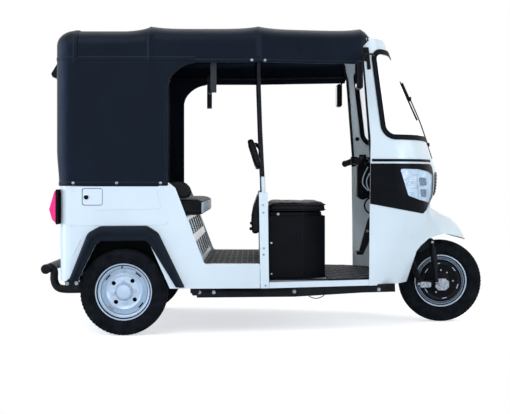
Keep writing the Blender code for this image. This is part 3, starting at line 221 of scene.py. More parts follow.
def make_finishes(colours):
    """Fills MATERIALS from the scene's colours and paints every CAD node."""
    enamel, canvas, seat = (tuple(c) for c in (colours.enamel, colours.canvas, colours.seat_vinyl))
    black, powder, rubber = (tuple(c) for c in (colours.black_plastic, colours.powder_coat, colours.rubber))
    silver, red = tuple(colours.wheel_silver), tuple(colours.tail_lamp)
    # Glossy white with a faint orange peel, so that highlights break up a little.
    MATERIALS["enamel"] = surface("baked enamel on pressed steel", shade(enamel, 0.93), enamel, 0.35,
                                  (0.20, 0.30), 5 * MM, 0.05 * MM, Coat_Weight=0.5, Coat_Roughness=0.12)
    # Near black with a bluish sheen on its folds. Its grain is under 1 mm, and drawn at 4 mm to show.
    MATERIALS["canvas"] = surface("vinyl-coated polyester canvas", canvas, shade(canvas, 1.45), 0.22,
                                  (0.27, 0.36), pebbles(4 * MM), 0.3 * MM, folds=(0.16, 9 * MM),
                                  Specular_IOR_Level=0.2, Specular_Tint=linear("#A6C4EC"))
    # Satin black with pebbles of 1.5 mm, drawn at 3 mm, and a little shinier where it is sat on.
    MATERIALS["leatherette"] = surface("imitation leather", seat, shade(seat, 1.6), 0.12, (0.36, 0.52),
                                       pebbles(3 * MM), 0.35 * MM, folds=(0.10, 4 * MM),
                                       Specular_IOR_Level=0.15)
    # The same hide in pale grey. Along the rear seat's front it is a painted highlight, the light that the
    # cushion's front face catches; the control cables are in it too.
    MATERIALS["pale vinyl and painted highlight"] = surface("pale grey imitation leather and painted highlight", linear("#A9B8C4"), linear("#C9D6DF"),
                                      0.08, (0.35, 0.5), pebbles(3 * MM), 0.2 * MM)
    # Satin moulded black that stays dark in the light.
    MATERIALS["plastic"] = surface("satin black moulded plastic", black, shade(black, 1.3, 0.001), 0.08,
                                   (0.26, 0.38), 3 * MM, 0.1 * MM, Specular_IOR_Level=0.08)
    # Grained blue-grey plastic of the wheel arches, dull but for its crest.
    MATERIALS["flare"] = surface("grained dark polypropylene", linear("#0C141C"), linear("#141E28"), 0.08,
                                 (0.46, 0.60), 3 * MM, 0.15 * MM, Specular_IOR_Level=0.10)
    # Dull black rubber of seals and mats' edges.
    MATERIALS["seal"] = surface("extruded rubber seal", linear("#07090C"), linear("#0C1014"), 0.05,
                                (0.5, 0.65), 3 * MM, 0.1 * MM, Specular_IOR_Level=0.08)
    MATERIALS["gasket"] = surface("grey rubber gasket", linear("#4C555E"), linear("#626C75"), 0.05,
                                  (0.5, 0.65), 3 * MM, 0.1 * MM)
    # Satin black on tube, rubbed paler on high spots.
    MATERIALS["powder"] = surface("black powder coat on steel", powder, shade(powder, 1.8, 0.003), 0.07,
                                  (0.30, 0.45), 4 * MM, 0.1 * MM, Specular_IOR_Level=0.12)
    # Dark paint of the wheels' backing discs, and the painted shadow rings in the wheels.
    MATERIALS["drum and painted shadow"] = surface("dark brake drum paint and painted shadow", linear("#050609"), linear("#0A0C10"), 0.05,
                                (0.5, 0.6), 4 * MM, 0.1 * MM, Specular_IOR_Level=0.08)
    # Matt black with a bloom of dust that pales it in places.
    MATERIALS["tyre"] = surface("vulcanised tyre rubber", rubber, linear("#191D21"), 0.05, (0.62, 0.82),
                                3 * MM, 0.3 * MM, Specular_IOR_Level=0.05)
    # Pale bluish metal flake under a clear coat.
    MATERIALS["silver"] = surface("silver lacquer on pressed steel", shade(silver, 0.82), silver, 6 * MM,
                                  (0.30, 0.42), 4 * MM, 0.05 * MM, Metallic=0.35, Coat_Weight=0.35,
                                  Coat_Roughness=0.2)
    # Bright grey bolts with a faint spangle.
    MATERIALS["zinc"] = surface("zinc-plated steel", linear("#7F858B"), linear("#B9BEC4"), 0.012,
                                (0.25, 0.45), 2 * MM, 0.05 * MM, Metallic=0.9)
    # Rough pale grey casting, oil-stained in its hollows.
    MATERIALS["alloy"] = surface("sand-cast aluminium", linear("#4A4743"), linear("#9A9C9E"), 0.05,
                                 (0.45, 0.65), 3 * MM, 0.4 * MM, Metallic=0.75)
    # Almost clear, with a painted reflection: a white haze that glows faintly, for the studio mirrored in
    # it.
    MATERIALS["glass"] = see_through("tempered windscreen glass", linear("#FBFDFE"), 0.02, 0.62)
    # Flexible film, duller and greyer than glass, with less of the painted reflection.
    MATERIALS["film"] = see_through("clear vinyl window film", linear("#D5DEE2"), 0.10, 0.3)
    # Clear lens, with a little of the painted reflection.
    MATERIALS["lens"] = see_through("clear polycarbonate lens", linear("#DCE8F2"), 0.02, 0.10)
    # The lamp's ribbed bowl: cool white that darkens between its ribs.
    MATERIALS["lamp"] = surface("ribbed lamp bowl", linear("#8FA3B5"), linear("#E8F2FA"), 0.05,
                                (0.05, 0.12), ribs_of(4 * MM), 0.3 * MM, Coat_Weight=1.0)
    MATERIALS["lamp white"] = surface("white lamp surround", linear("#A9BCCB"), linear("#D9E6EF"), 0.05,
                                      (0.2, 0.3), 3 * MM, 0.05 * MM)
    # Smoked blue-grey facets that glint.
    MATERIALS["cell"] = surface("smoked reflector cell", linear("#22324A"), linear("#7488A2"), 0.02,
                                (0.12, 0.22), facets(14 * MM), 1.2 * MM, tone=facets(14 * MM),
                                Metallic=0.4)
    # Deep pink-red with fine prisms behind its face, glowing slightly.
    MATERIALS["red"] = surface("moulded red acrylic", red, shade(red, 0.6), 0.03, (0.25, 0.35),
                               facets(7 * MM), 0.3 * MM, tone=facets(7 * MM), Coat_Weight=0.15,
                               Emission_Color=red, Emission_Strength=0.15)
    # Dull black floor mat, and its ribs in a paler grey.
    MATERIALS["floor"] = surface("moulded rubber flooring", linear("#0A0B0E"), linear("#17191D"), 0.10,
                                 (0.5, 0.7), 4 * MM, 0.3 * MM, Specular_IOR_Level=0.1)
    MATERIALS["rib"] = surface("pale grey rubber ribs", linear("#3A424B"), linear("#6A747E"), 0.04,
                               (0.5, 0.7), 4 * MM, 0.2 * MM)
    # A real mirror with a slight film of dust.
    MATERIALS["mirror"] = surface("silvered glass", linear("#C8D0D6"), linear("#E6ECF0"), 0.05,
                                  (0.02, 0.06), 0.05, 0.02 * MM, Metallic=1.0)
    # Matt ribbed strap. Real ribs are 1.2 mm apart, drawn at 3 mm.
    MATERIALS["webbing"] = surface("woven polyester webbing", linear("#0C0E12"), linear("#23272E"), 0.05,
                                   (0.7, 0.85), ribs_of(0.5 * MM), 0.5 * MM, tone=ribs_of(0.5 * MM),
                                   Sheen_Weight=0.2)
    MATERIALS["thread"] = surface("polyester thread", linear("#1C2430"), linear("#2E3746"), 0.02,
                                  (0.6, 0.8), 2 * MM, 0.1 * MM)
    MATERIALS["chrome"] = surface("polished chrome plate", linear("#BFC6CC"), linear("#E4E8EC"), 0.03,
                                  (0.08, 0.20), 0.02, 0.02 * MM, Metallic=1.0)
    for name, nodes in NODE_FINISH.items():
        for node in nodes:
            paint(NODES[node], name)


PHOTO_WIDTH, PHOTO_HEIGHT = 510, 414
EYE = Vector((-0.092, -5.88, 0.888))     # where the camera stands
FOCAL_PX = 911
AXIS_PX = (253, 183)                     # where its axis meets the picture
SENSOR = 36
LIT_POINT = Vector((0, 0, 0.8))          # what the lamps face
LAMPS = {                                # place, size, watts and colour of each lamp
    "key": ((-2.5, -5.0, 5.5), 4.0, 118, "#FFFFFF"),
    "top": ((0.5, 0.5, 6.0), 5.0, 95, "#FFFFFF"),
    "fill": ((4.5, -2.5, 3.0), 3.0, 45, "#FFFFFF"),
    "low front": ((4.2, -4.8, 0.95), 1.8, 60, "#BFDCFF"),
    "door": ((-1.0, -5.6, 0.6), 3.2, 28, "#D6E8FF"),
    "rear": ((-5.4, -1.5, 1.6), 4.2, 200, "#C4D8FF"),
}


def make_camera():
    data = bpy.data.cameras.new("camera")
    data.sensor_width = SENSOR
    data.lens = FOCAL_PX / PHOTO_WIDTH * SENSOR
    data.shift_x = (PHOTO_WIDTH / 2 - AXIS_PX[0]) / PHOTO_WIDTH
    data.shift_y = (AXIS_PX[1] - PHOTO_HEIGHT / 2) / PHOTO_WIDTH
    camera = linked("camera", data)
    camera.location = EYE
    camera.rotation_euler = (math.radians(90), 0, 0)
    bpy.context.scene.camera = camera


def make_lamps(brightness):
    """Square area lamps that face the vehicle's middle."""
    for name, (place, size, watts, colour) in LAMPS.items():
        data = bpy.data.lights.new(name, "AREA")
        data.shape = "SQUARE"
        data.size = size
        data.energy = watts * brightness
        data.color = linear(colour)[:3]
        obj = linked(name, data)
        obj.location = place
        obj.rotation_euler = (LIT_POINT - Vector(place)).to_track_quat("-Z", "Y").to_euler()


def make_world(strength):
    """White where the camera, a mirror or glass sees it, and a plain cool light for everything else."""
    world = bpy.data.worlds.new("studio")
    bpy.context.scene.world = world
    world.use_nodes = True
    tree = world.node_tree
    tree.nodes.clear()
    soft = add(tree, "ShaderNodeBackground", {"Color": linear("#F2F6FF"), "Strength": strength})
    white = add(tree, "ShaderNodeBackground", {"Color": (1, 1, 1, 1), "Strength": 1.0})
    path = add(tree, "ShaderNodeLightPath").outputs
    seen = add(tree, "ShaderNodeMath", {0: path["Is Camera Ray"], 1: path["Is Glossy Ray"]},
               operation="MAXIMUM")
    seen = add(tree, "ShaderNodeMath", {0: seen, 1: path["Is Transmission Ray"]}, operation="MAXIMUM")
    mixed = add(tree, "ShaderNodeMixShader", {0: seen, 1: soft, 2: white})
    add(tree, "ShaderNodeOutputWorld", {"Surface": mixed})


def make_floor(reach):
    """A pale floor that keeps the shadow and fades into the white round it."""
    mesh = bpy.data.meshes.new("floor")
    mesh.from_pydata([(-reach, -reach, 0), (reach, -reach, 0), (reach, reach, 0), (-reach, reach, 0)], [],
                     [(0, 1, 2, 3)])
    floor = linked("floor", mesh)
    made, tree = new_material("white studio paper")
    paper = add(tree, "ShaderNodeBsdfDiffuse", {"Color": linear("#FAFBFC")})
    glow = add(tree, "ShaderNodeEmission", {"Color": (1, 1, 1, 1), "Strength": 0.60})
    dimmed = add(tree, "ShaderNodeBsdfDiffuse", {"Color": linear("#FDFDFD")})
    near = add(tree, "ShaderNodeAddShader", {0: dimmed, 1: glow})
    white = add(tree, "ShaderNodeEmission", {"Color": (1, 1, 1, 1), "Strength": 1.0})
    place = add(tree, "ShaderNodeTexCoord").outputs["Object"]
    squeezed = add(tree, "ShaderNodeVectorMath", {0: place, 1: (0.62, 1.0, 1.0)}, operation="MULTIPLY")
    away = add(tree, "ShaderNodeVectorMath", {0: squeezed}, operation="LENGTH")
    fade = add(tree, "ShaderNodeMapRange", {"Value": away.outputs["Value"], "From Min": 0.75,
                                            "From Max": 1.3}, interpolation_type="SMOOTHSTEP")
    seen = add(tree, "ShaderNodeMixShader", {0: fade, 1: near, 2: white})
    path = add(tree, "ShaderNodeLightPath")
    mixed = add(tree, "ShaderNodeMixShader", {0: path.outputs["Is Camera Ray"], 1: paper, 2: seen})
    add(tree, "ShaderNodeOutputMaterial", {"Surface": mixed})
    mesh.materials.append(made)


def build_stage(sizes):
    make_camera()
    make_world(sizes.sky_light)
    make_lamps(sizes.studio_light)
    make_floor(40)
    bpy.context.scene.view_settings.view_transform = "Standard"


def closed_mesh(name, shape, merge=0.01 * MM):
    """A mesh of the bmesh, with points closer than merge joined and its faces turned outwards."""
    if merge:
        bmesh.ops.remove_doubles(shape, verts=shape.verts, dist=merge)
    bmesh.ops.recalc_face_normals(shape, faces=shape.faces)
    mesh = bpy.data.meshes.new(name)
    shape.to_mesh(mesh)
    shape.free()
    return mesh


def finished(obj, finish, sharp):
    """obj in its material, smooth but for edges sharper than sharp degrees."""
    paint(obj, finish)
    obj.data.shade_smooth()
    obj.data.set_sharp_from_angle(angle=math.radians(sharp))
    return obj


def piece(name, shape, finish, body, sharp=35):
    """Turns a bmesh into a finished piece that rides on body."""
    obj = finished(linked(name, closed_mesh(name, shape)), finish, sharp)
    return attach(obj, body) if body else obj


def applied(obj):
    """obj with its modifiers made part of its mesh."""
    graph = bpy.context.evaluated_depsgraph_get()
    made = bpy.data.meshes.new_from_object(obj.evaluated_get(graph), depsgraph=graph)
    materials = list(obj.data.materials)
    obj.modifiers.clear()
    obj.data = made
    if not made.materials:
        for material in materials:
            made.materials.append(material)
    return obj


def modify(obj, kind, **settings):
    """Adds a modifier with its settings."""
    made = obj.modifiers.new(kind.lower(), kind)
    for name, value in settings.items():
        setattr(made, name, value)
    return made


def quads(shape, rows, close=False):
    """Faces between rows of points with equal counts. close joins each row's ends."""
    grid = [[at if isinstance(at, bmesh.types.BMVert) else shape.verts.new(at) for at in row]
            for row in rows]
    for first, second in zip(grid, grid[1:]):
        for i in range(len(first) - (0 if close else 1)):
            k = (i + 1) % len(first)
            corners = (first[i], first[k], second[k], second[i])
            if len({c.co.to_tuple(6) for c in corners}) > 2:
                shape.faces.new(corners)
    return grid


def frames(path, up=None):
    """(tangent, side, up) at each point of path, with up near the given direction or turned the least."""
    made = []
    side = None
    for i in range(len(path)):
        tangent = (path[min(i + 1, len(path) - 1)] - path[max(i - 1, 0)]).normalized()
        if up is not None:
            side = tangent.cross(up[i] if isinstance(up, list) else up).normalized()
        elif side is None:
            side = tangent.cross(UP if abs(tangent.z) < 0.9 else Vector((0, 1, 0))).normalized()
        else:
            side = (side - tangent * side.dot(tangent)).normalized()
        made.append((tangent, side, side.cross(tangent).normalized()))
    return made


def strand(shape, path, section, up=None, closed=False):
    """Sweeps a section of (side, up) points along path, with flat ends."""
    path = [Vector(p) for p in path]
    rows = []
    for at, (_, side, over) in zip(path, frames(path, up)):
        rows.append([at + side * a + over * b for a, b in section])
    if closed:
        rows.append(rows[0])
    grid = quads(shape, rows, close=True)
    if not closed:
        shape.faces.new(list(reversed(grid[0])))
        shape.faces.new(grid[-1])


def circle(radius, sides=10):
    return [(radius * math.cos(2 * math.pi * k / sides), radius * math.sin(2 * math.pi * k / sides))
            for k in range(sides)]


def strip(width, thick):
    """The section of a flat strap that lies on what is under it."""
    w, t = width / 2, thick
    return [(-w, 0), (w, 0), (w, t * 0.6), (w - t * 0.5, t), (t * 0.5 - w, t), (-w, t * 0.6)]


def smooth(points, count):
    """count points spaced evenly along a Catmull-Rom curve through points."""
    points = [Vector(p) for p in points]
    ends = [2 * points[0] - points[1], *points, 2 * points[-1] - points[-2]]
    dense = []
    for i in range(1, len(ends) - 2):
        a, b, c, d = ends[i - 1:i + 3]
        for k in range(16):
            t = k / 16
            dense.append(0.5 * (2 * b + (c - a) * t + (2 * a - 5 * b + 4 * c - d) * t * t
                                + (3 * b - a - 3 * c + d) * t ** 3))
    dense.append(points[-1])
    return even(dense, count)


def even(line, count):
    """count points spaced evenly along a broken line."""
    reach = np.concatenate([[0], np.cumsum([(b - a).length for a, b in zip(line, line[1:])])])
    made = []
    for target in np.linspace(0, reach[-1], count):
        j = min(int(np.searchsorted(reach, target, "right")) - 1, len(line) - 2)
        step = max(reach[j + 1] - reach[j], 1e-9)
        made.append(line[j].lerp(line[j + 1], float(min(1, (target - reach[j]) / step))))
    return made


def rounded(corners, steps=4):
    """A closed outline of (a, b, radius) corners with each one rounded."""
    made = []
    for i, (x, y, radius) in enumerate(corners):
        at = Vector((x, y))
        back = (Vector(corners[i - 1][:2]) - at).normalized()
        on = (Vector(corners[(i + 1) % len(corners)][:2]) - at).normalized()
        if radius <= 0 or back.dot(on) < -0.9999:
            made.append(at)
            continue
        half = back.angle(on) / 2
        middle = at + (back + on).normalized() * radius / math.sin(half)
        start = at + back * radius / math.tan(half) - middle
        end = at + on * radius / math.tan(half) - middle
        first = math.atan2(start.y, start.x)
        sweep = (math.atan2(end.y, end.x) - first + math.pi) % (2 * math.pi) - math.pi
        for k in range(steps + 1):
            a = first + sweep * k / steps
            made.append(middle + Vector((math.cos(a), math.sin(a))) * radius)
    return made


def box_outline(low_a, low_b, high_a, high_b, radius, steps=5):
    """A rounded rectangle between two corners."""
    return rounded([(low_a, low_b, radius), (high_a, low_b, radius), (high_a, high_b, radius),
                    (low_a, high_b, radius)], steps)


def flat_bar(side, up):
    """The section of a flat bar, by its half sizes."""
    return [(-side, -up), (side, -up), (side, up), (-side, up)]


def slab(shape, outline, low, high, plane="XZ", bevel=0.0):
    """A plate of that outline in plane, from low to high across it, with small chamfers."""
    place = {"XZ": lambda p, d: (p[0], d, p[1]), "XY": lambda p, d: (p[0], p[1], d),
             "YZ": lambda p, d: (d, p[0], p[1])}[plane]
    middle = sum((Vector(p) for p in outline), Vector((0, 0))) / len(outline)

    def inset(point):
        return Vector(point) + (middle - Vector(point)).normalized() * bevel

    levels = [(inset, low), (Vector, low + bevel), (Vector, high - bevel), (inset, high)] if bevel else \
        [(Vector, low), (Vector, high)]
    rows = [[place(move(p), d) for p in outline] for move, d in levels]
    grid = quads(shape, rows, close=True)
    shape.faces.new(list(reversed(grid[0])))
    shape.faces.new(grid[-1])


def turned(shape, profile, centre, axis="Y", steps=48, arc=None):
    """A solid of revolution. profile holds (radius, along) points, closed on itself."""
    rows = []
    start, sweep = arc or (0, 360)
    for k in range(steps + (1 if arc else 0)):
        a = math.radians(start + sweep * k / steps)
        row = []
        for radius, along in profile:
            c, s = radius * math.cos(a), radius * math.sin(a)
            row.append(Vector(centre) + Vector({"Y": (c, along, s), "X": (along, c, s),
                                                "Z": (c, s, along)}[axis]))
        rows.append(row)
    if arc:
        grid = quads(shape, rows, close=True)
        shape.faces.new(grid[0])
        shape.faces.new(list(reversed(grid[-1])))
        return
    grid = [[shape.verts.new(at) for at in row] for row in rows]
    count = len(profile)
    for k in range(steps):
        for i in range(count):
            j = (i + 1) % count
            corners = [grid[k][i], grid[(k + 1) % steps][i], grid[(k + 1) % steps][j], grid[k][j]]
            if profile[i][0] < 1e-7:
                corners.pop(1)
            if profile[j][0] < 1e-7:
                corners.pop(2 if len(corners) == 4 else 1)
            if len(corners) > 2:
                shape.faces.new(corners)


def brick(shape, low, high, bevel=0.0):
    """A block between two corners with chamfered edges."""
    made = bmesh.ops.create_cube(shape, size=1)["verts"]
    low, high = Vector(low), Vector(high)
    for v in made:
        v.co = Vector(low[i] + (v.co[i] + 0.5) * (high[i] - low[i]) for i in range(3))
    if bevel:
        edges = list({e for v in made for e in v.link_edges})
        bmesh.ops.bevel(shape, geom=edges, offset=bevel, segments=2, profile=0.6, affect="EDGES")


def geometry_tree(name, sizes):
    """A Geometry Nodes tree with a Geometry input and output, the inputs in sizes, and a Material input."""
    tree = bpy.data.node_groups.new(name, "GeometryNodeTree")
    sockets = tree.interface
    sockets.new_socket("Geometry", in_out="INPUT", socket_type="NodeSocketGeometry")
    sockets.new_socket("Geometry", in_out="OUTPUT", socket_type="NodeSocketGeometry")
    for label, (kind, value) in sizes.items():
        made = sockets.new_socket(label, in_out="INPUT", socket_type="NodeSocket" + kind)
        if value is not None:
            made.default_value = value
    sockets.new_socket("Material", in_out="INPUT", socket_type="NodeSocketMaterial")
    return tree, add(tree, "NodeGroupInput")


def end_tree(tree, instances, material):
    """Realises the instances, gives them the material and passes them on."""
    real = add(tree, "GeometryNodeRealizeInstances", {"Geometry": instances})
    done = add(tree, "GeometryNodeSetMaterial", {"Geometry": real.outputs["Geometry"],
                                                 "Material": material})
    add(tree, "NodeGroupOutput", {"Geometry": done.outputs["Geometry"]})


def stitch_tree():
    """Lays short rounded threads end to end along every edge path it is given."""
    tree, given = geometry_tree("stitches", {"Pitch": ("Float", 7 * MM),
                                             "Thread length": ("Float", 4.5 * MM),
                                             "Thread radius": ("Float", 0.8 * MM)})
    curve = add(tree, "GeometryNodeMeshToCurve", {"Mesh": given.outputs["Geometry"]})
    spaced = add(tree, "GeometryNodeResampleCurve", {
        "Curve": curve.outputs["Curve"], "Length": given.outputs["Pitch"]}, mode="LENGTH")
    thread = add(tree, "GeometryNodeMeshCylinder", {
        "Vertices": 5, "Radius": given.outputs["Thread radius"], "Depth": given.outputs["Thread length"]})
    along = add(tree, "GeometryNodeInputTangent")
    turn = add(tree, "FunctionNodeAlignRotationToVector", {"Vector": along.outputs["Tangent"]}, axis="Z")
    laid = add(tree, "GeometryNodeInstanceOnPoints", {"Points": spaced.outputs["Curve"],
                                                      "Instance": thread.outputs["Mesh"],
                                                      "Rotation": turn.outputs["Rotation"]})
    end_tree(tree, laid.outputs["Instances"], given.outputs["Material"])
    return tree


def fitting_tree():
    """Sets a copy of the Shape object on every point, facing along the point's own directions."""
    tree, given = geometry_tree("fittings on points", {"Shape": ("Object", None), "Size": ("Float", 1.0)})
    shape = add(tree, "GeometryNodeObjectInfo", {"Object": given.outputs["Shape"]})
    facing = add(tree, "GeometryNodeInputNamedAttribute", {"Name": "facing"}, data_type="FLOAT_VECTOR")
    along = add(tree, "GeometryNodeInputNamedAttribute", {"Name": "along"}, data_type="FLOAT_VECTOR")
    turn = add(tree, "FunctionNodeAxesToRotation", {"Primary Axis": facing.outputs["Attribute"],
                                                    "Secondary Axis": along.outputs["Attribute"]},
               primary_axis="Z", secondary_axis="X")
    size = add(tree, "ShaderNodeCombineXYZ", {"X": given.outputs["Size"], "Y": given.outputs["Size"],
                                              "Z": given.outputs["Size"]})
    laid = add(tree, "GeometryNodeInstanceOnPoints", {
        "Points": given.outputs["Geometry"], "Instance": shape.outputs["Geometry"],
        "Rotation": turn.outputs["Rotation"], "Scale": size.outputs["Vector"]})
    end_tree(tree, laid.outputs["Instances"], given.outputs["Material"])
    return tree


def ring_tree():
    """Repeats the Shape object round a wheel's axle, which runs along Y through Centre."""
    tree, given = geometry_tree("ring about an axle", {
        "Shape": ("Object", None), "Count": ("Int", 24), "Centre": ("Vector", (0, 0, 0)),
        "Start angle": ("Float", 0.0),
    })
    shape = add(tree, "GeometryNodeObjectInfo", {"Object": given.outputs["Shape"]})
    line = add(tree, "GeometryNodeMeshLine", {"Count": given.outputs["Count"], "Offset": (0, 0, 0)})
    index = add(tree, "GeometryNodeInputIndex")
    share = add(tree, "ShaderNodeMath", {0: index.outputs["Index"], 1: given.outputs["Count"]},
                operation="DIVIDE")
    turned_by = add(tree, "ShaderNodeMath", {0: share.outputs["Value"], 1: 2 * math.pi,
                                             2: given.outputs["Start angle"]}, operation="MULTIPLY_ADD")
    turn = add(tree, "FunctionNodeAxisAngleToRotation", {"Axis": (0, 1, 0),
                                                         "Angle": turned_by.outputs["Value"]})
    laid = add(tree, "GeometryNodeInstanceOnPoints", {"Points": line.outputs["Mesh"],
                                                      "Instance": shape.outputs["Geometry"],
                                                      "Rotation": turn.outputs["Rotation"]})
    moved = add(tree, "GeometryNodeTranslateInstances", {
        "Instances": laid.outputs["Instances"], "Translation": given.outputs["Centre"]})
    moved.inputs["Local Space"].default_value = False
    end_tree(tree, moved.outputs["Instances"], given.outputs["Material"])
    return tree


TREES = {}


def tree_named(name):
    """The tree of that name, made the first time it is asked for."""
    if name not in TREES:
        TREES[name] = {"stitches": stitch_tree, "fittings": fitting_tree, "ring": ring_tree}[name]()
    return TREES[name]


def from_tree(name, tree_name, base, finish, body, values, sharp=35):
    """Runs a tree on a base mesh with those input values, and returns the plain mesh as a piece on body."""
    holder = linked(name, base)
    tree = tree_named(tree_name)
    modifier = modify(holder, "NODES", node_group=tree)
    inputs = {s.name: s.identifier for s in tree.interface.items_tree if s.in_out == "INPUT"}
    for label, value in {**values, "Material": MATERIALS[finish]}.items():
        modifier[inputs[label]] = value
    bpy.context.view_layer.update()
    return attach(finished(applied(holder), finish, sharp), body)


def path_mesh(paths):
    """A mesh of bare edges along each path."""
    mesh = bpy.data.meshes.new("paths")
    points, edges = [], []
    for path in paths:
        first = len(points)
        points += [tuple(p) for p in path]
        edges += [(first + i, first + i + 1) for i in range(len(path) - 1)]
    mesh.from_pydata(points, edges, [])
    return mesh


def point_mesh(points, facing, along):
    """A mesh of bare points with the directions that the fittings tree reads."""
    mesh = bpy.data.meshes.new("points")
    mesh.from_pydata([tuple(p) for p in points], [], [])
    for label, values in (("facing", facing), ("along", along)):
        if not isinstance(values, list):
            values = [values] * len(points)
        made = mesh.attributes.new(label, "FLOAT_VECTOR", "POINT")
        made.data.foreach_set("vector", np.array([tuple(v) for v in values], np.float32).ravel())
    return mesh


def stitches(name, paths, finish, body, pitch=8 * MM, radius=0.9 * MM):
    """Rows of stitches, drawn about twice life size so that they show."""
    return from_tree(name, "stitches", path_mesh(paths), finish, body,
                     {"Pitch": pitch, "Thread length": pitch * 0.62, "Thread radius": radius})


def fittings(name, shape, points, facing, along, finish, body, size=1.0):
    """A copy of the unlinked shape object at each point."""
    return from_tree(name, "fittings", point_mesh(points, facing, along), finish, body,
                     {"Shape": shape, "Size": size})


def pattern(build, *sizes):
    """A hidden object, made by build on a bmesh, that a tree copies."""
    shape = bmesh.new()
    build(shape, *sizes)
    return bpy.data.objects.new("pattern", closed_mesh("pattern", shape, 0.001 * MM))


def dome(shape, radius, height):
    """A domed stud on a thin collar."""
    profile = [(0, -1 * MM), (radius, -1 * MM), (radius, 1 * MM)]
    for k in range(1, 5):
        a = math.radians(90 * k / 4)
        profile.append((radius * 0.86 * math.cos(a), 1 * MM + height * math.sin(a)))
    turned(shape, profile[:-1] + [(0, 1 * MM + height)], (0, 0, 0), "Z", 14)


def hexagon(shape, radius, height):
    """A hexagon bolt head on its washer."""
    turned(shape, [(0, -1 * MM), (radius * 1.35, -1 * MM), (radius * 1.35, 1.5 * MM), (0, 1.5 * MM)],
           (0, 0, 0), "Z", 16)
    turned(shape, [(0, 1 * MM), (radius, 1 * MM), (radius, height * 0.85), (radius * 0.88, height),
                   (0, height)], (0, 0, 0), "Z", 6)


HALF = 0.62                  # the vehicle's half width at the soft top
REAR = -1.22
FRONT = 0.60
TOP_Z = 1.806
BELLY = 22 * MM               # how far the rear wrap stands out above its hem
CROWN = 0.030
FRINGE = 1.587               # lower edge of the roof's fringe
HEM = 0.8705                 # lower edge of the rear wrap
SIDE_END = -0.589            # where the rear wrap ends at the doorway
ARCH_END = -0.430
ARCH_DROP = 0.135            # height of the doorway's rounded corner
BOWS = (-1.12, -0.69, -0.06, 0.545)
EDGE_R = 0.09
CLOTH = 2.5 * MM


def half_at(x):
    """Half the soft top's width at this X: it narrows to the front."""
    return HALF - max(0.0, x - BOWS[2]) * 0.105 / (FRONT - BOWS[2])


def between_bows(x):
    """0 at each bow and 1 between them, with a peak in the sheet at each bow."""
    for a, b in zip(BOWS, BOWS[1:]):
        if a <= x <= b:
            return 1 - abs(2 * (x - a) / (b - a) - 1) ** 4
    return 0.0


def drop_at(x):
    """How far the roof's edge lies under its highest bows at this X."""
    low = 0.025 * max(0.0, min(1.0, (BOWS[1] - x) / (BOWS[1] - BOWS[0]))) ** 0.5
    roll = max(0.0, (x - BOWS[-1]) / (FRONT - BOWS[-1]))
    return min(low + 0.014 * between_bows(x), 0.028) + 0.046 * roll ** 1.5


def ridge_at(x):
    """How far a bow's tube presses the sheet out at this X."""
    return 8 * MM * sum(math.exp(-((x - bow) / 0.010) ** 2) for bow in (-1.118, BOWS[1], BOWS[2]))


def belly_at(z):
    """How far the rear wrap stands out of the body's rear at height z."""
    t = max(0.0, min(1.0, (z - HEM) / 0.22))
    return BELLY * (0.4 + 0.6 * t * t * (3 - 2 * t))


def hem_at(x):
    """Lower edge of the sheet at this X on the vehicle's side."""
    if x >= ARCH_END:
        return FRINGE
    if x <= SIDE_END:
        return HEM
    t = (x - SIDE_END) / (ARCH_END - SIDE_END)
    return FRINGE - ARCH_DROP * (1 - (1 - (1 - t) ** 1.7) ** (1 / 1.7))


def stations():
    """Points of the sheet's plan from the right front round the back to the left front, each as
    (kind, value): a side at X, a corner at an angle, or the back wall at Y."""
    inner = REAR + EDGE_R
    xs = set(BOWS[1:])
    for low, high, count in ((inner, SIDE_END, 22), (ARCH_END, FRONT, 38), (SIDE_END, ARCH_END, 10)):
        xs |= set(np.round(np.linspace(low, high, count), 4))
    for bow in BOWS[1:3]:
        xs |= {round(bow + step * 8 * MM, 4) for step in (-3, -2, -1, 1, 2, 3)}
    xs = sorted(xs)
    side = [("right", float(x)) for x in reversed(xs)]
    corner = [("right corner", a) for a in (15, 30, 45, 60, 75)]
    back = [("back", float(y)) for y in np.linspace(EDGE_R - HALF, HALF - EDGE_R, 37)]
    mirror = [("left corner", a) for _, a in reversed(corner)]
    return side + corner + back + mirror + [("left", x) for _, x in reversed(side)]


def at(station, inward, z):
    """The point inward of the sheet's outside at this station and height. The walls end behind the roll at
    the roof's front."""
    kind, value = station
    if kind in ("right", "left"):
        side = -1 if kind == "right" else 1
        out = half_at(value)
        if value > BOWS[-1]:
            share = max(0.0, min(1.0, (z - 1.69) / 0.05))
            value = BOWS[-1] + (value - BOWS[-1]) * (0.15 + 0.85 * share)
        return Vector((value, side * (out - inward), z))
    if kind == "back":
        return Vector((REAR + inward - belly_at(z) * (1 - inward / EDGE_R), value, z))
    side = -1 if kind == "right corner" else 1
    a = math.radians(value)
    reach = EDGE_R - inward
    back = reach * (1 + belly_at(z) / EDGE_R) * math.sin(a)
    return Vector((REAR + EDGE_R - back, side * (HALF - EDGE_R + reach * math.cos(a)), z))


def station_x(station):
    return station[1] if station[0] in ("right", "left") else REAR + EDGE_R


def crown_at(x, y):
    flat = half_at(x) - EDGE_R
    return CROWN * max(0.0, 1 - (y / flat) ** 2)


def slack(point, top):
    """How far the cloth hangs in from its tight shape at a point of the walls, for soft folds."""
    x, z = point.x, point.z
    between = between_bows(max(x, BOWS[0]))
    tall = max(0.0, min(1.0, (top - z) / 0.12)) * max(0.0, min(1.0, (z - HEM) / 0.08))
    ripple = 0.5 + 0.5 * math.sin(x * 23 + 3.0 * math.sin(z * 4.1 + x * 5))
    pressed = ridge_at(x) * max(0.0, min(1.0, (z - 1.57) / 0.07))
    return tall * (5 * MM * between + 2.2 * MM * ripple * between) - pressed


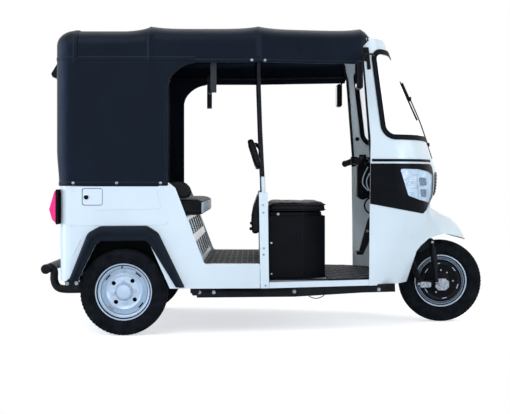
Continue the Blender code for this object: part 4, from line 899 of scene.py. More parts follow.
def top_rows(station):
    """The sheet's points over the rounded edge at this station, from the wall up to the roof."""
    x = station_x(station)
    top = TOP_Z - drop_at(x)
    inner = at(station, EDGE_R, 0)
    rise = crown_at(x, inner.y) if station[0] == "back" else 0.0
    rows = []
    for k in range(9):
        a = math.radians(90 * k / 8)
        z = top - EDGE_R + (EDGE_R + rise) * math.sin(a)
        out = ridge_at(x) * math.cos(a) if station[0] in ("right", "left") else 0.0
        rows.append(at(station, EDGE_R * (1 - math.cos(a)) - out, z))
    return rows


def wall_point(station, z):
    point = at(station, 0, z)
    top = TOP_Z - EDGE_R
    if station[0] in ("right", "left"):
        point = at(station, slack(point, top), z)
    elif station[0] == "back":
        bulge = max(0.0, 1 - (point.y / (HALF - EDGE_R)) ** 4)
        held = 1 if abs(point.y) > 0.40 or z < 1.06 or z > 1.48 else 0.25
        ripple = math.sin(point.y * 17 + 2 * math.sin(z * 6))
        point = at(station, (3 * MM + 2 * MM * ripple) * bulge * held * min(1, (z - HEM) / 0.1), z)
    return point


def roof_sheet():
    """The soft top's surface as a bmesh: walls, rounded edges and roof in one sheet."""
    shape = bmesh.new()
    ring = stations()
    arch_z = hem_at(SIDE_END + 1e-9)
    tall = list(np.linspace(HEM, arch_z, 27)[:-1]) + list(np.linspace(arch_z, FRINGE, 5)[:-1])
    columns = []
    for station in ring:
        start = hem_at(station_x(station)) if station[0] in ("right", "left") else HEM
        edge = top_rows(station)
        heights = []
        if start < HEM + 0.01:
            heights = tall
        elif start < FRINGE - 1e-5:
            heights = np.linspace(start, FRINGE, 5)[:-1]
        upper = [wall_point(station, FRINGE + (edge[0].z - FRINGE) * k / 5) for k in range(5)]
        columns.append(([wall_point(station, z) for z in heights], upper + edge))
    grid = [[shape.verts.new(p) for p in upper] for _, upper in columns]
    lowers = [[shape.verts.new(p) for p in lower] + [grid[i][0]] for i, (lower, _) in enumerate(columns)]
    for first, second in list(zip(grid, grid[1:])) + list(zip(lowers, lowers[1:])):
        shared = min(len(first), len(second))
        a, b = first[-shared:], second[-shared:]
        for i in range(shared - 1):
            shape.faces.new((a[i], b[i], b[i + 1], a[i + 1]))
        if shared == 1 and len(first) + len(second) > 2:
            many, one = (first, second[0]) if len(first) > 1 else (second, first[0])
            for i in range(len(many) - 1):
                shape.faces.new((many[i], many[i + 1], one))
    rights = [(s[1], g) for s, g in zip(ring, grid) if s[0] == "right"]
    lefts = {s[1]: g for s, g in zip(ring, grid) if s[0] == "left"}
    backs = [g[-1] for s, g in zip(ring, grid) if s[0] == "back"]
    shares = [v.co.y / (HALF - EDGE_R) for v in backs]
    rows = []
    for x, column in rights:
        flat = half_at(x) - EDGE_R
        top = TOP_Z - drop_at(x)
        if abs(x - (REAR + EDGE_R)) < 1e-4:
            rows.append(backs)
            continue
        inner = [shape.verts.new((x, share * flat, top + crown_at(x, share * flat)))
                 for share in shares[1:-1]]
        rows.append([column[-1]] + inner + [lefts[x][-1]])
    for first, second in zip(rows, rows[1:]):
        for i in range(len(first) - 1):
            shape.faces.new((first[i], first[i + 1], second[i + 1], second[i]))
    return shape


REAR_WINDOW = (0.34, 1.12, 1.42)


def soft_top(thickness):
    """The vinyl canvas roof and its rear wrap as one curved sheet."""
    shape = roof_sheet()
    bmesh.ops.remove_doubles(shape, verts=shape.verts, dist=1e-4)
    bmesh.ops.recalc_face_normals(shape, faces=shape.faces)
    if sum(f.normal.z * f.calc_area() for f in shape.faces) < 0:
        bmesh.ops.reverse_faces(shape, faces=shape.faces)
    mesh = bpy.data.meshes.new("soft_top")
    shape.to_mesh(mesh)
    shape.free()
    obj = finished(linked("soft_top", mesh), "canvas", 50)
    modify(obj, "SOLIDIFY", thickness=thickness, offset=-1.0)
    half, low, high = REAR_WINDOW
    hole = box_outline(-half, low, half, high, 0.03)
    cut_with(obj, lambda tool: slab(tool, hole, REAR - 80 * MM, REAR + 70 * MM, "YZ"), "canvas", 50)
    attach(obj, CHASSIS)
    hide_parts("canopy_roof", "canopy_wrap")
    return obj


def around(z, proud, reach=None):
    """A path along the sheet's outside at height z, from the right round the back to the left."""
    path, ups = [], []
    for station in stations():
        if reach is not None and station[0] in ("right", "left") and station[1] > reach:
            continue
        inside = at(station, 0.05, z)
        point = wall_point(station, z)
        out = (at(station, 0, z) - inside).normalized()
        path.append(point + out * proud)
        ups.append(out)
    return path, ups


def over_bow(x, proud=0.0, low=FRINGE):
    """A path over the roof at this X, and the directions out of the sheet."""
    right = [wall_point(("right", x), low + (TOP_Z - EDGE_R - low) * k / 5)
             for k in range(5)] + top_rows(("right", x))
    flat = half_at(x) - EDGE_R
    top = TOP_Z - drop_at(x)
    middle = [Vector((x, y * flat, top + crown_at(x, y * flat))) for y in np.linspace(-0.9, 0.9, 19)]
    left = [Vector((p.x, -p.y, p.z)) for p in reversed(right)]
    path = right + middle + left
    ups = []
    for i in range(len(path)):
        along = path[min(i + 1, len(path) - 1)] - path[max(i - 1, 0)]
        up = Vector((1, 0, 0)).cross(along).normalized()
        ups.append(up if up.z > -0.2 else -up)
    centre = Vector((x, 0, 1.2))
    ups = [u if u.dot(p - centre) > 0 else -u for u, p in zip(ups, path)]
    return [p + u * proud for p, u in zip(path, ups)], ups


def grown_hole(hole, by):
    """The outline moved out from its middle by this much on each side."""
    middle = sum(hole, Vector((0, 0))) / len(hole)
    return [p + Vector((math.copysign(by, p.x - middle.x), math.copysign(by, p.y - middle.y)))
            for p in hole]


def top_trim(pitch):
    """Seam strips, the hem, piping at the doorways, a rear window frame and their stitches."""
    made, thread = [], []
    seam = bmesh.new()
    path, ups = around(1.612, 0.2 * MM, ARCH_END)
    strand(seam, path, strip(20 * MM, 2.2 * MM), ups)
    for offset in (-6 * MM, 6 * MM):
        thread.append([p + Vector((0, 0, offset)) + u * 2.0 * MM for p, u in zip(path, ups)])
    path, ups = around(HEM + 14 * MM, 0.2 * MM, SIDE_END)
    strand(seam, path, strip(26 * MM, 2.4 * MM), ups)
    thread.append([p + Vector((0, 0, 8 * MM)) + u * 2.2 * MM for p, u in zip(path, ups)])
    path, ups = over_bow(max(BOWS[0], REAR + EDGE_R + 1 * MM), 0.1 * MM)
    strand(seam, path, strip(24 * MM, 2.5 * MM), ups)
    for offset in (-7 * MM, 7 * MM):
        thread.append([p + Vector((offset, 0, 0)) + u * 2.3 * MM for p, u in zip(path, ups)])
    made.append(piece("soft_top_seams", seam, "canvas", CHASSIS, 40))
    fringe = bmesh.new()
    for side in (-1, 1):
        name = "right" if side < 0 else "left"
        edge = [wall_point((name, x), FRINGE + 10 * MM) for x in np.linspace(FRONT - 2 * MM, ARCH_END, 40)]
        strand(fringe, edge, strip(20 * MM, 2 * MM), Vector((0, side, 0)))
        thread.append([p + Vector((0, side * 2 * MM, 5 * MM)) for p in edge])
        arch = [wall_point((name, x), hem_at(x)) for x in np.linspace(ARCH_END, SIDE_END + 0.1 * MM, 16)]
        down = [wall_point((name, SIDE_END), z) for z in np.linspace(FRINGE - ARCH_DROP, HEM + 4 * MM, 30)]
        line = [p + Vector((2 * MM, 0, 0)) for p in arch[:-1] + down]
        strand(fringe, line, circle(5 * MM, 10))
        thread.append([p + Vector((-12 * MM, side * 1.2 * MM, 0)) for p in down])
    made.append(piece("soft_top_edging", fringe, "canvas", CHASSIS, 40))
    half, low, high = REAR_WINDOW
    border = bmesh.new()
    hole = box_outline(-half, low, half, high, 0.03, 6)
    loop = [Vector((REAR - BELLY - 0.3 * MM, *p)) for p in even(hole + hole[:1], 80)]
    middle = Vector((REAR - BELLY, 0, (low + high) / 2))
    strand(border, loop[:-1], strip(22 * MM, 3 * MM), Vector((-1, 0, 0)), closed=True)
    made.append(piece("rear_window_border", border, "canvas", CHASSIS, 40))
    film = bmesh.new()
    slab(film, grown_hole(hole, 12 * MM), REAR - BELLY + 0.2 * MM, REAR - BELLY + 1.2 * MM, "YZ")
    pane = piece("rear_window_film", film, "film", CHASSIS)
    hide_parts("rear_window")
    visor = bmesh.new()
    slab(visor, rounded([(REAR - BELLY + 3 * MM, 1.634, 0.004), (-1.296, 1.540, 0.008),
                         (-1.287, 1.519, 0.006), (REAR - BELLY + 3 * MM, 1.513, 0.004)], 3), -0.45, 0.45,
         "XZ", 2 * MM)
    flap = piece("rear_window_flap", visor, "canvas", CHASSIS, 40)
    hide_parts("rear_visor")
    made.append(flap)
    for grow in (1.016, 0.984):
        ring = [middle + (p - middle) * grow + Vector((-3 * MM, 0, 0)) for p in loop]
        thread.append(ring)
    made.append(stitches("soft_top_stitches", thread, "thread", CHASSIS, pitch, 0.8 * MM))
    return made


SNAP_X = (-1.140, -0.880, -0.626)
BOLT_X = (-0.098, -0.023)


def top_fasteners():
    """The snaps along the hem and the bolts through the fringe."""
    stud = pattern(dome, 8.5 * MM, 4.5 * MM)
    points, facing = [], []
    for side, name in ((-1, "right"), (1, "left")):
        for x in SNAP_X:
            points.append(wall_point((name, max(x, REAR + EDGE_R)),
                                     0.888) + Vector((0, side * 2.5 * MM, 0)))
            facing.append((0, side, 0))
        for x in BOLT_X:
            points.append(wall_point((name, x), 1.598) + Vector((0, side * 2.5 * MM, 0)))
            facing.append((0, side, 0))
    for y in (-0.42, -0.14, 0.14, 0.42):
        points.append(wall_point(("back", y), 0.888) + Vector((-2.5 * MM, 0, 0)))
        facing.append((-1, 0, 0))
    return [fittings("soft_top_snaps", stud, points, facing, UP, "zinc", CHASSIS)]


def build_roof_tubes(sizes):
    """The tubes under the roof: bows, rails, door posts and front posts."""
    tubes = bmesh.new()
    for x in BOWS:
        low = HEM + 4 * MM if x < -0.5 else 1.60
        path, _ = over_bow(x, -CLOTH - 12.6 * MM, low)
        strand(tubes, path, circle(12 * MM, 12))
    for side in (-1, 1):
        rail = [(-1.12, side * 0.599, 1.63), (-0.06, side * 0.599, 1.63), (0.545, side * 0.503, 1.63)]
        strand(tubes, rail, circle(11 * MM, 12))
        post = [(-0.030, side * 0.583, 0.831), (-0.048, side * 0.592, 1.20), (-0.060, side * 0.599, 1.55),
                (-0.060, side * 0.599, 1.645)]
        strand(tubes, post, circle(sizes.post_radius, 16))
        front = [(0.550, side * 0.488, 1.66), (0.566, side * 0.480, 1.60), (0.610, side * 0.476, 1.02)]
        strand(tubes, front, circle(9 * MM, 12))
    obj = piece("roof_tubes", tubes, "powder", CHASSIS)
    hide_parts("roof_frame")


def build_soft_top(sizes):
    sheet = soft_top(sizes.canvas_thickness)
    trim = top_trim(sizes.stitch_pitch) + top_fasteners()


DRIVER_SEAT = "driver_seat"


def swollen(obj, voxel, cap, held, pressure):
    """Remeshes obj evenly and swells it as sewn cloth under pressure. Points that held picks stay in
    place, and no point moves further than cap."""
    modify(obj, "REMESH", mode="VOXEL", voxel_size=voxel)
    applied(obj)
    mesh = obj.data
    before = np.empty(len(mesh.vertices) * 3)
    mesh.vertices.foreach_get("co", before)
    before = before.reshape(-1, 3)
    fixed = obj.vertex_groups.new(name="held")
    fixed.add([i for i, co in enumerate(before) if held(*co)], 1.0, "REPLACE")
    cloth = modify(obj, "CLOTH").settings
    cloth.quality = 4
    cloth.tension_stiffness = 12
    cloth.compression_stiffness = 12
    cloth.vertex_group_mass = fixed.name
    cloth.use_pressure = True
    cloth.uniform_pressure_force = pressure
    cloth.effector_weights.gravity = 0
    for frame in range(1, 21):
        bpy.context.scene.frame_set(frame)
    applied(obj)
    bpy.context.scene.frame_set(1)
    mesh = obj.data
    after = np.empty(len(mesh.vertices) * 3)
    mesh.vertices.foreach_get("co", after)
    move = after.reshape(-1, 3) - before
    far = np.linalg.norm(move, axis=1, keepdims=True)
    kept = before + move * np.minimum(1.0, cap / np.maximum(far, 1e-9))
    mesh.vertices.foreach_set("co", kept.ravel())
    modify(obj, "SUBSURF", levels=1, render_levels=1)
    return applied(obj)


def pad(name, outline, low, high, plane, body, node, held, pressure, voxel=10 * MM, cap=14 * MM,
        bevel=12 * MM):
    """A sewn pad in the place of the CAD node: a soft block, swollen but where it is held flat."""
    shape = bmesh.new()
    slab(shape, outline, low, high, plane, bevel)
    obj = finished(linked(name, closed_mesh(name, shape, merge=0)), "leatherette", 180)
    swollen(obj, voxel, cap, held, pressure)
    obj.name = name
    paint(obj, "leatherette")
    obj.data.shade_smooth()
    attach(obj, body)
    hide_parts(node)
    return obj


def near_any(value, places, within):
    return any(abs(value - place) < within for place in places)


def welt(name, loops, body, radius=4.5 * MM):
    """Piping round a pad's seams."""
    shape = bmesh.new()
    for loop in loops:
        strand(shape, loop, circle(radius, 8), closed=True)
    return piece(name, shape, "leatherette", body, 60)


def loop_at(outline, level, plane, count=90):
    """Evenly spaced points round an outline, at a level across its plane."""
    flat = even([Vector(p) for p in list(outline) + [outline[0]]], count + 1)[:-1]
    place = {"XZ": lambda p: (p[0], level, p[1]), "XY": lambda p: (p[0], p[1], level),
             "YZ": lambda p: (level, p[0], p[1])}[plane]
    return [place(p) for p in flat]


def build_driver_cushion(sizes):
    """The cushion with its two sewn channels."""
    base, top = 0.7165, 0.768
    outline = rounded([(0.010, -0.429, 0.04), (0.208, -0.429, 0.05), (0.349, -0.330, 0.05),
                       (0.349, 0.330, 0.05), (0.208, 0.429, 0.05), (0.010, 0.429, 0.04)], 5)
    channels = (0.12, 0.235)
    pad("driver_seat_pad", outline, base, top, "XY", DRIVER_SEAT, "driver_cushion", lambda x, y,
        z: z < base + 9 * MM or (near_any(x, channels, 6 * MM) and z > top - 9 * MM and abs(y) < 0.36),
        sizes.seat_pressure, cap=7 * MM)
    welt("driver_seat_welts", [loop_at(outline, top - 12 * MM, "XY"),
                               loop_at(outline, base + 8 * MM, "XY")], DRIVER_SEAT, 3.5 * MM)
    rows = []
    for x in channels:
        for side in (-9 * MM, 9 * MM):
            rows.append([Vector((x + side, y, top + 1.0 * MM)) for y in np.linspace(-0.34, 0.34, 40)])
    stitches("driver_seat_stitches", rows, "thread", DRIVER_SEAT, 10 * MM)


def build_driver_back(sizes):
    """The back and head pads with their piping."""
    back = [(-0.094, 0.584), (-0.057, 0.588), (-0.058, 0.70), (-0.048, 0.815), (-0.058, 0.820),
            (-0.088, 0.735), (-0.101, 0.665)]
    back = rounded([(*p, 0.012) for p in back], 3)
    pad("driver_back_pad", back, -0.392, 0.392, "XZ", CHASSIS, "driver_backrest", lambda x, y,
        z: x < -0.078 or near_any(y, (-0.131, 0.131), 5 * MM) or z > 0.80, sizes.seat_pressure,
        voxel=9 * MM, cap=5 * MM, bevel=8 * MM)
    head = rounded([(-0.072, 0.982, 0.012), (-0.040, 0.982, 0.014), (-0.094, 1.158, 0.014),
                    (-0.127, 1.153, 0.012)], 3)
    pad("driver_head_pad", head, -0.254, 0.254, "XZ", CHASSIS, "driver_headrest",
        lambda x, y, z: x < -0.064 - (z - 0.982) * 0.30, sizes.seat_pressure, voxel=8 * MM, cap=7 * MM)
    loops = []
    for y in (-0.380, 0.380):
        loops.append(loop_at(back, y, "XZ", 50))
    for y in (-0.243, 0.243):
        loops.append(loop_at(head, y, "XZ", 40))
    welt("driver_back_welts", loops, CHASSIS, 3.2 * MM)


def build_driver_frame():
    """The tubes behind the driver that carry the pads, and their knobs."""
    knob = bmesh.new()
    for side in (-1, 1):
        turned(knob, [(0, -0.010), (0.009, -0.010), (0.010, 0.0), (0.009, 0.010), (0, 0.010)],
               (-0.103, side * 0.375, 0.612), "X", 16)
    piece("driver_back_knobs", knob, "seal", CHASSIS)
    frame = bmesh.new()
    strand(frame, [(-0.036, -0.5583, 0.785), (-0.036, 0.5583, 0.785)], circle(12 * MM, 16))
    for side in (-1, 1):
        y = side * 0.16
        strand(frame, smooth([(-0.036, y, 0.785), (-0.034, y, 0.88), (-0.034, y, 0.965), (-0.044, y, 1.012),
                              (-0.072, y, 1.022)], 16), circle(10 * MM, 14))
        strand(frame, smooth([(-0.034, y, 0.96), (-0.036, y, 1.06), (-0.060, y, 1.128),
                              (-0.098, y, 1.136)], 16), circle(7 * MM, 12))
        strand(frame, [(-0.036, y * 1.9, 0.785), (-0.064, y * 1.9, 0.785)], circle(9 * MM, 12))
        strand(frame, [Vector((-0.036, y * 1.9, 0.785)), Vector((-0.046, y * 1.9, 0.70)),
                       Vector((-0.064, y * 1.9, 0.66))], circle(8 * MM, 12))
    obj = piece("driver_back_frame", frame, "powder", CHASSIS)
    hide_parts("partition_frame")
    bar = bmesh.new()
    strand(bar, [(-0.072, -0.235, 0.995), (-0.072, 0.235, 0.995)], circle(6.5 * MM, 14))
    piece("driver_head_bar", bar, "chrome", CHASSIS)


def build_driver_seat(sizes):
    build_driver_cushion(sizes)
    build_driver_back(sizes)
    build_driver_frame()


def build_rear_seat(sizes):
    base, top = 0.700, 0.792
    outline = box_outline(-0.894, -0.590, -0.394, 0.590, 0.04)
    channels = (-0.197, 0.197)
    pad("rear_seat_pad", outline, base, top, "XY", CHASSIS, "rear_seat_cushion", lambda x, y,
        z: z < base + 10 * MM or (near_any(y, channels, 7 * MM) and z > top - 9 * MM
                                  and x < -0.43) or abs(y) > 0.545 or x < -0.86, sizes.seat_pressure,
        voxel=12 * MM, cap=7 * MM, bevel=16 * MM)
    welt("rear_seat_welts", [loop_at(outline, top - 12 * MM, "XY", 110),
                             loop_at(outline, base + 9 * MM, "XY", 110)], CHASSIS, 4 * MM)
    rows = []
    for y in channels:
        for side in (-10 * MM, 10 * MM):
            rows.append([Vector((x, y + side, top + 1.2 * MM)) for x in np.linspace(-0.84, -0.43, 30)])
    stitches("rear_seat_stitches", rows, "thread", CHASSIS, 11 * MM)
    back = rounded([(-0.913, 0.745, 0.01), (-1.010, 1.236, 0.02), (-1.078, 1.238, 0.01),
                    (-1.014, 0.700, 0.01), (-0.914, 0.700, 0.01)], 3)
    pad("rear_back_pad", back, -0.538, 0.538, "XZ", CHASSIS, "rear_seat_back",
        lambda x, y, z: x < -1.0 - (z - 0.70) * 0.12 or near_any(y, channels, 7 * MM) or z < 0.81,
        sizes.seat_pressure, voxel=12 * MM, cap=9 * MM, bevel=16 * MM)
    loops = [loop_at(back, y, "XZ", 70) for y in (-0.524, 0.524)]
    for side in (-1, 1):
        tip = -0.452 if side < 0 else -0.536
        arm = rounded([(-0.852, 0.803, 0.02), (tip - 0.018, 0.803, 0.02), (tip, 0.835, 0.02),
                       (tip - 0.028, 0.892, 0.05), (-0.852, 0.892, 0.03)], 6)
        low, high = sorted((side * 0.549, side * 0.5885))
        name = "left" if side > 0 else "right"
        pad("arm_pad_" + name, arm, low, high, "XZ", CHASSIS, "armrest_" + name,
            lambda x, y, z: abs(y) > 0.584 or z < 0.812, sizes.seat_pressure, voxel=8 * MM, cap=5 * MM,
            bevel=8 * MM)
        loops.append(loop_at(arm, side * 0.5525, "XZ", 60))
    welt("rear_back_welts", loops, CHASSIS, 3.2 * MM)
    # A pale strip over the cushion's front face: a painted highlight.
    face = bmesh.new()
    brick(face, (-0.3935, -0.560, 0.712), (-0.3865, 0.560, 0.774), 3 * MM)
    piece("rear_seat_facing", face, "pale vinyl and painted highlight", CHASSIS)
    ends = bmesh.new()
    turned(ends, [(0, -0.012), (0.027, -0.012), (0.030, -0.004), (0.030, 0.010), (0, 0.010)],
           (-0.420, 0.601, 0.760), "Y", 28)
    turned(ends, [(0, -0.010), (0.030, -0.010), (0.030, 0.004), (0.027, 0.012), (0, 0.012)],
           (-0.420, -0.601, 0.760), "Y", 28)
    piece("rear_seat_end_caps", ends, "seal", CHASSIS)


REAR_AXLE = (-0.845, 0.53, 0.254)     # X, half track, Z
FRONT_AXLE = (1.11, 0.0, 0.262)
RIM_R = 0.152
RIM_LIP = 0.0142


def tyre_outline(radius, width, rim_w):
    """A tyre's section as (radius, along): grooved tread, shoulders, walls with fine rings, and beads."""
    half, tread = width / 2, width / 2 - 12 * MM
    seat, lip, side = RIM_R + 0.8 * MM, RIM_R + RIM_LIP, rim_w / 2 - 14 * MM

    def crown(a):
        return radius - 3 * MM * (a / tread) ** 2

    top = []
    for g in (-0.68 * tread, -0.24 * tread, 0.24 * tread, 0.68 * tread):
        top += [(crown(g - 2.8 * MM), g - 2.8 * MM), (radius - 8 * MM, g - 1.8 * MM),
                (radius - 8 * MM, g + 1.8 * MM), (crown(g + 2.8 * MM), g + 2.8 * MM)]
    wall = [(radius - 5 * MM, tread + 1 * MM), (radius - 11 * MM, half - 5 * MM),
            (radius - 19 * MM, half - 1.5 * MM), (radius - 27 * MM, half - 0.8 * MM),
            (radius - 29 * MM, half), (radius - 33 * MM, half), (radius - 35 * MM, half - 1.2 * MM),
            (radius - 50 * MM, half - 1.0 * MM), (lip + 24 * MM, half - 3 * MM),
            (lip + 19 * MM, half - 6 * MM), (lip + 17 * MM, half - 5 * MM),
            (lip + 14 * MM, half - 6 * MM), (lip + 12 * MM, half - 9 * MM),
            (lip + 4 * MM, half - 13 * MM), (lip + 1 * MM, side + 4 * MM), (seat, side)]
    return [(r, -a) for r, a in reversed(wall)] + top + wall


def tyre(name, node, centre, radius, width, rim_w, body):
    """A tyre in the place of the CAD node, with its shoulder lugs."""
    shape = bmesh.new()
    turned(shape, tyre_outline(radius, width, rim_w), centre, "Y", 96)
    obj = piece(name, shape, "tyre", body, 30)
    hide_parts(node)
    tread = width / 2 - 12 * MM

    def lug(lugs):
        for side in (-1, 1):
            low, high = sorted((side * (0.68 * tread + 4 * MM), side * (tread + 2 * MM)))
            brick(lugs, (radius - 9 * MM, low, -4 * MM), (radius - 3.0 * MM, high, 4 * MM), 0.8 * MM)
            low, high = sorted((side * (tread - 1 * MM), side * (width / 2 - 4 * MM)))
            brick(lugs, (radius - 17 * MM, low, -3.2 * MM), (radius - 7.5 * MM, high, 3.2 * MM), 0.8 * MM)

    blocks = from_tree(name + "_lugs", "ring", bpy.data.meshes.new("none"), "tyre", body,
                       {"Shape": pattern(lug), "Count": 64, "Centre": centre})
    return blocks


def rim_outline(rim_w, dish):
    """A pressed disc wheel's section as (radius, along), its face towards +along."""
    half, lip = rim_w / 2, RIM_R + RIM_LIP
    d = dish - 18 * MM
    face = [(0.0156, 0.0375 + d), (0.044, 0.0375 + d), (0.048, 0.030 + d), (0.055, 0.024 + d),
            (0.066, 0.0225 + d), (0.088, 0.0225 + d), (0.095, 0.027 + d), (0.102, 0.031 + d),
            (0.109, 0.027 + d), (0.116, 0.019 + d), (0.128, 0.014 + d), (0.1335, 0.012 + d),
            (0.1348, 0.002 + d), (0.1378, 0.002 + d)]
    barrel = [(0.1392, half - 0.034), (0.1405, half - 0.029), (0.1455, half - 0.0265),
              (0.1485, half - 0.021), (0.1500, half - 0.014), (0.1535, half - 0.0115),
              (0.1560, half - 0.006), (0.1600, half - 0.001), (lip - 2 * MM, half),
              (lip, half - 1.5 * MM), (lip - 0.5 * MM, half - 4 * MM),
              (RIM_R + 0.3 * MM, half - 14.5 * MM)]
    back = [(RIM_R + 0.3 * MM, 14.5 * MM - half), (lip, 1 * MM - half), (lip - 3.5 * MM, -half),
            (0.1475, 0.012 - half), (0.1460, min(0.0, d)), (0.1378, d - 5 * MM), (0.1300, d),
            (0.128, 0.009 + d), (0.116, 0.014 + d), (0.109, 0.021 + d), (0.102, 0.025 + d),
            (0.095, 0.021 + d), (0.088, 0.0175 + d), (0.066, 0.0175 + d), (0.055, 0.018 + d),
            (0.048, -0.002 + d), (0.044, -0.010 + d), (0.0156, -0.010 + d)]
    return face + barrel + back


def cutter_from(build):
    """A linked mesh object to cut with, closed and facing out."""
    shape = bmesh.new()
    build(shape)
    return linked("cutter", closed_mesh("cutter", shape, 0.001 * MM))


def boolean(obj, build, operation):
    """obj after a Boolean with what build makes."""
    tool = cutter_from(build)
    modify(obj, "BOOLEAN", operation=operation, object=tool, solver="EXACT")
    applied(obj)
    bpy.data.objects.remove(tool)
    return obj


def cut_with(obj, build, finish, sharp=35):
    """Takes what build makes out of obj."""
    return finished(boolean(obj, build, "DIFFERENCE"), finish, sharp)


def round_axle(centre, side, radius, degrees, along):
    """A point by its distance from the axle, its angle from +X, and how far out along the axle it is."""
    a = math.radians(degrees)
    return Vector((centre[0] + radius * math.cos(a), centre[1] + side * along,
                   centre[2] + radius * math.sin(a)))


def disc_wheel(name, node, centre, side, rim_w, dish, body):
    """A pressed wheel with its holes and slots, nuts on bosses, backing, cap and valve."""
    nut_ring, hole_ring = 0.061, 0.078
    shape = bmesh.new()
    profile = [(r, side * a) for r, a in rim_outline(rim_w, dish)]
    turned(shape, profile if side > 0 else list(reversed(profile)), centre, "Y", 80)
    obj = piece(name, shape, "silver", body, 30)

    def holes(tool):
        for k in range(4):
            at = round_axle(centre, side, hole_ring, 90 * k + 52, 0)
            turned(tool, [(0, -0.045), (0.0128, -0.045), (0.0128, 0.06), (0, 0.06)], at, "Y", 20)
            arc = [round_axle(centre, side, r, 90 * k + 50 + 2.2 * t, 0) for r, steps in
                   ((0.1225, range(-4, 5)), (0.1312, range(4, -5, -1))) for t in steps]
            slab(tool, [Vector((p.x, p.z)) for p in arc], centre[1] - 0.06, centre[1] + 0.06, "XZ")

    cut_with(obj, holes, "silver", 30)
    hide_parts(node)
    d = dish - 18 * MM
    nuts = [round_axle(centre, side, nut_ring, 90 * k + 7, 0.0228 + d) for k in range(4)]
    fittings(name + "_nuts", pattern(hexagon, 8.5 * MM, 11 * MM), nuts, Vector((0, side, 0)), UP,
             "silver", body)
    swell = [round_axle(centre, side, nut_ring, 90 * k + 7, 0.0215 + d) for k in range(4)]
    fittings(name + "_bosses", pattern(dome, 17 * MM, 4 * MM), swell, Vector((0, side, 0)), UP,
             "silver", body)
    backing = bmesh.new()
    disc = [(0.017, d - 0.020), (0.134, d - 0.020), (0.134, d - 0.026), (0.017, d - 0.026)]
    turned(backing, [(r, side * a) for r, a in disc], centre, "Y", 48)
    piece(name + "_backing", backing, "drum and painted shadow", body)
    # Black rings painted as shadow: in the step of the rim's lip, and on the front wheel also on its back
    # and in the gap to its brake plate.
    painted_shadow_rings = bmesh.new()
    half = rim_w / 2
    ring = [(0.1512, half - 0.0135), (0.1522, half - 0.0105), (0.1575, half - 0.0028),
            (0.1585, half - 0.0055), (0.1520, half - 0.0155)]
    turned(painted_shadow_rings, [(r, side * a) for r, a in ring], centre, "Y", 72)
    if body == FRONT_WHEEL:
        ring = [(0.1515, 0.0076 - half), (0.1575, 0.0029 - half), (0.1575, 0.0060 - half),
                (0.1515, 0.0107 - half)]
        turned(painted_shadow_rings, ring, centre, "Y", 72)
        turned(painted_shadow_rings, [(0.120, 0.019 - half), (0.1445, 0.019 - half), (0.1445, 0.023 - half),
                     (0.120, 0.023 - half)], centre, "Y", 72)
    piece(name + "_gap", painted_shadow_rings, "drum and painted shadow", body)
    cap = bmesh.new()
    high = 0.0515 + d
    section = [(0, high), (0.034, high), (0.0405, high - 2 * MM), (0.0428, high - 6 * MM),
               (0.0428, 0.0378 + d), (0.0395, 0.0378 + d), (0.0395, high - 6 * MM), (0, high - 3 * MM)]
    section = [(r, side * a) for r, a in section]
    turned(cap, section if side > 0 else list(reversed(section)), centre, "Y", 48)
    piece(name + "_cap", cap, "silver", body, 40)
    valve = bmesh.new()
    strand(valve, smooth([round_axle(centre, side, 0.1475, 94, rim_w / 2 - 0.030),
                          round_axle(centre, side, 0.1440, 94, rim_w / 2 - 0.014),
                          round_axle(centre, side, 0.1400, 94, rim_w / 2 - 0.004)], 8),
           circle(4.2 * MM, 10))
    piece(name + "_valve", valve, "seal", body)


def build_wheels(sizes):
    x, half, z = REAR_AXLE
    for side, body, name in ((-1, REAR_RIGHT, "right"), (1, REAR_LEFT, "left")):
        centre = (x, side * half, z)
        tyre("rear_tread_" + name, "rear_tyre_" + name, centre, sizes.rear_tyre_radius,
             sizes.rear_tyre_width, 0.110, body)
        disc_wheel("rear_disc_" + name, "rear_rim_" + name, centre, side, 0.110, 0.018, body)
    tyre("front_tread", "front_tyre", FRONT_AXLE, sizes.front_tyre_radius, sizes.front_tyre_width, 0.080,
         FRONT_WHEEL)
    disc_wheel("front_disc", "front_rim", FRONT_AXLE, 1, 0.080, 0.0, FRONT_WHEEL)


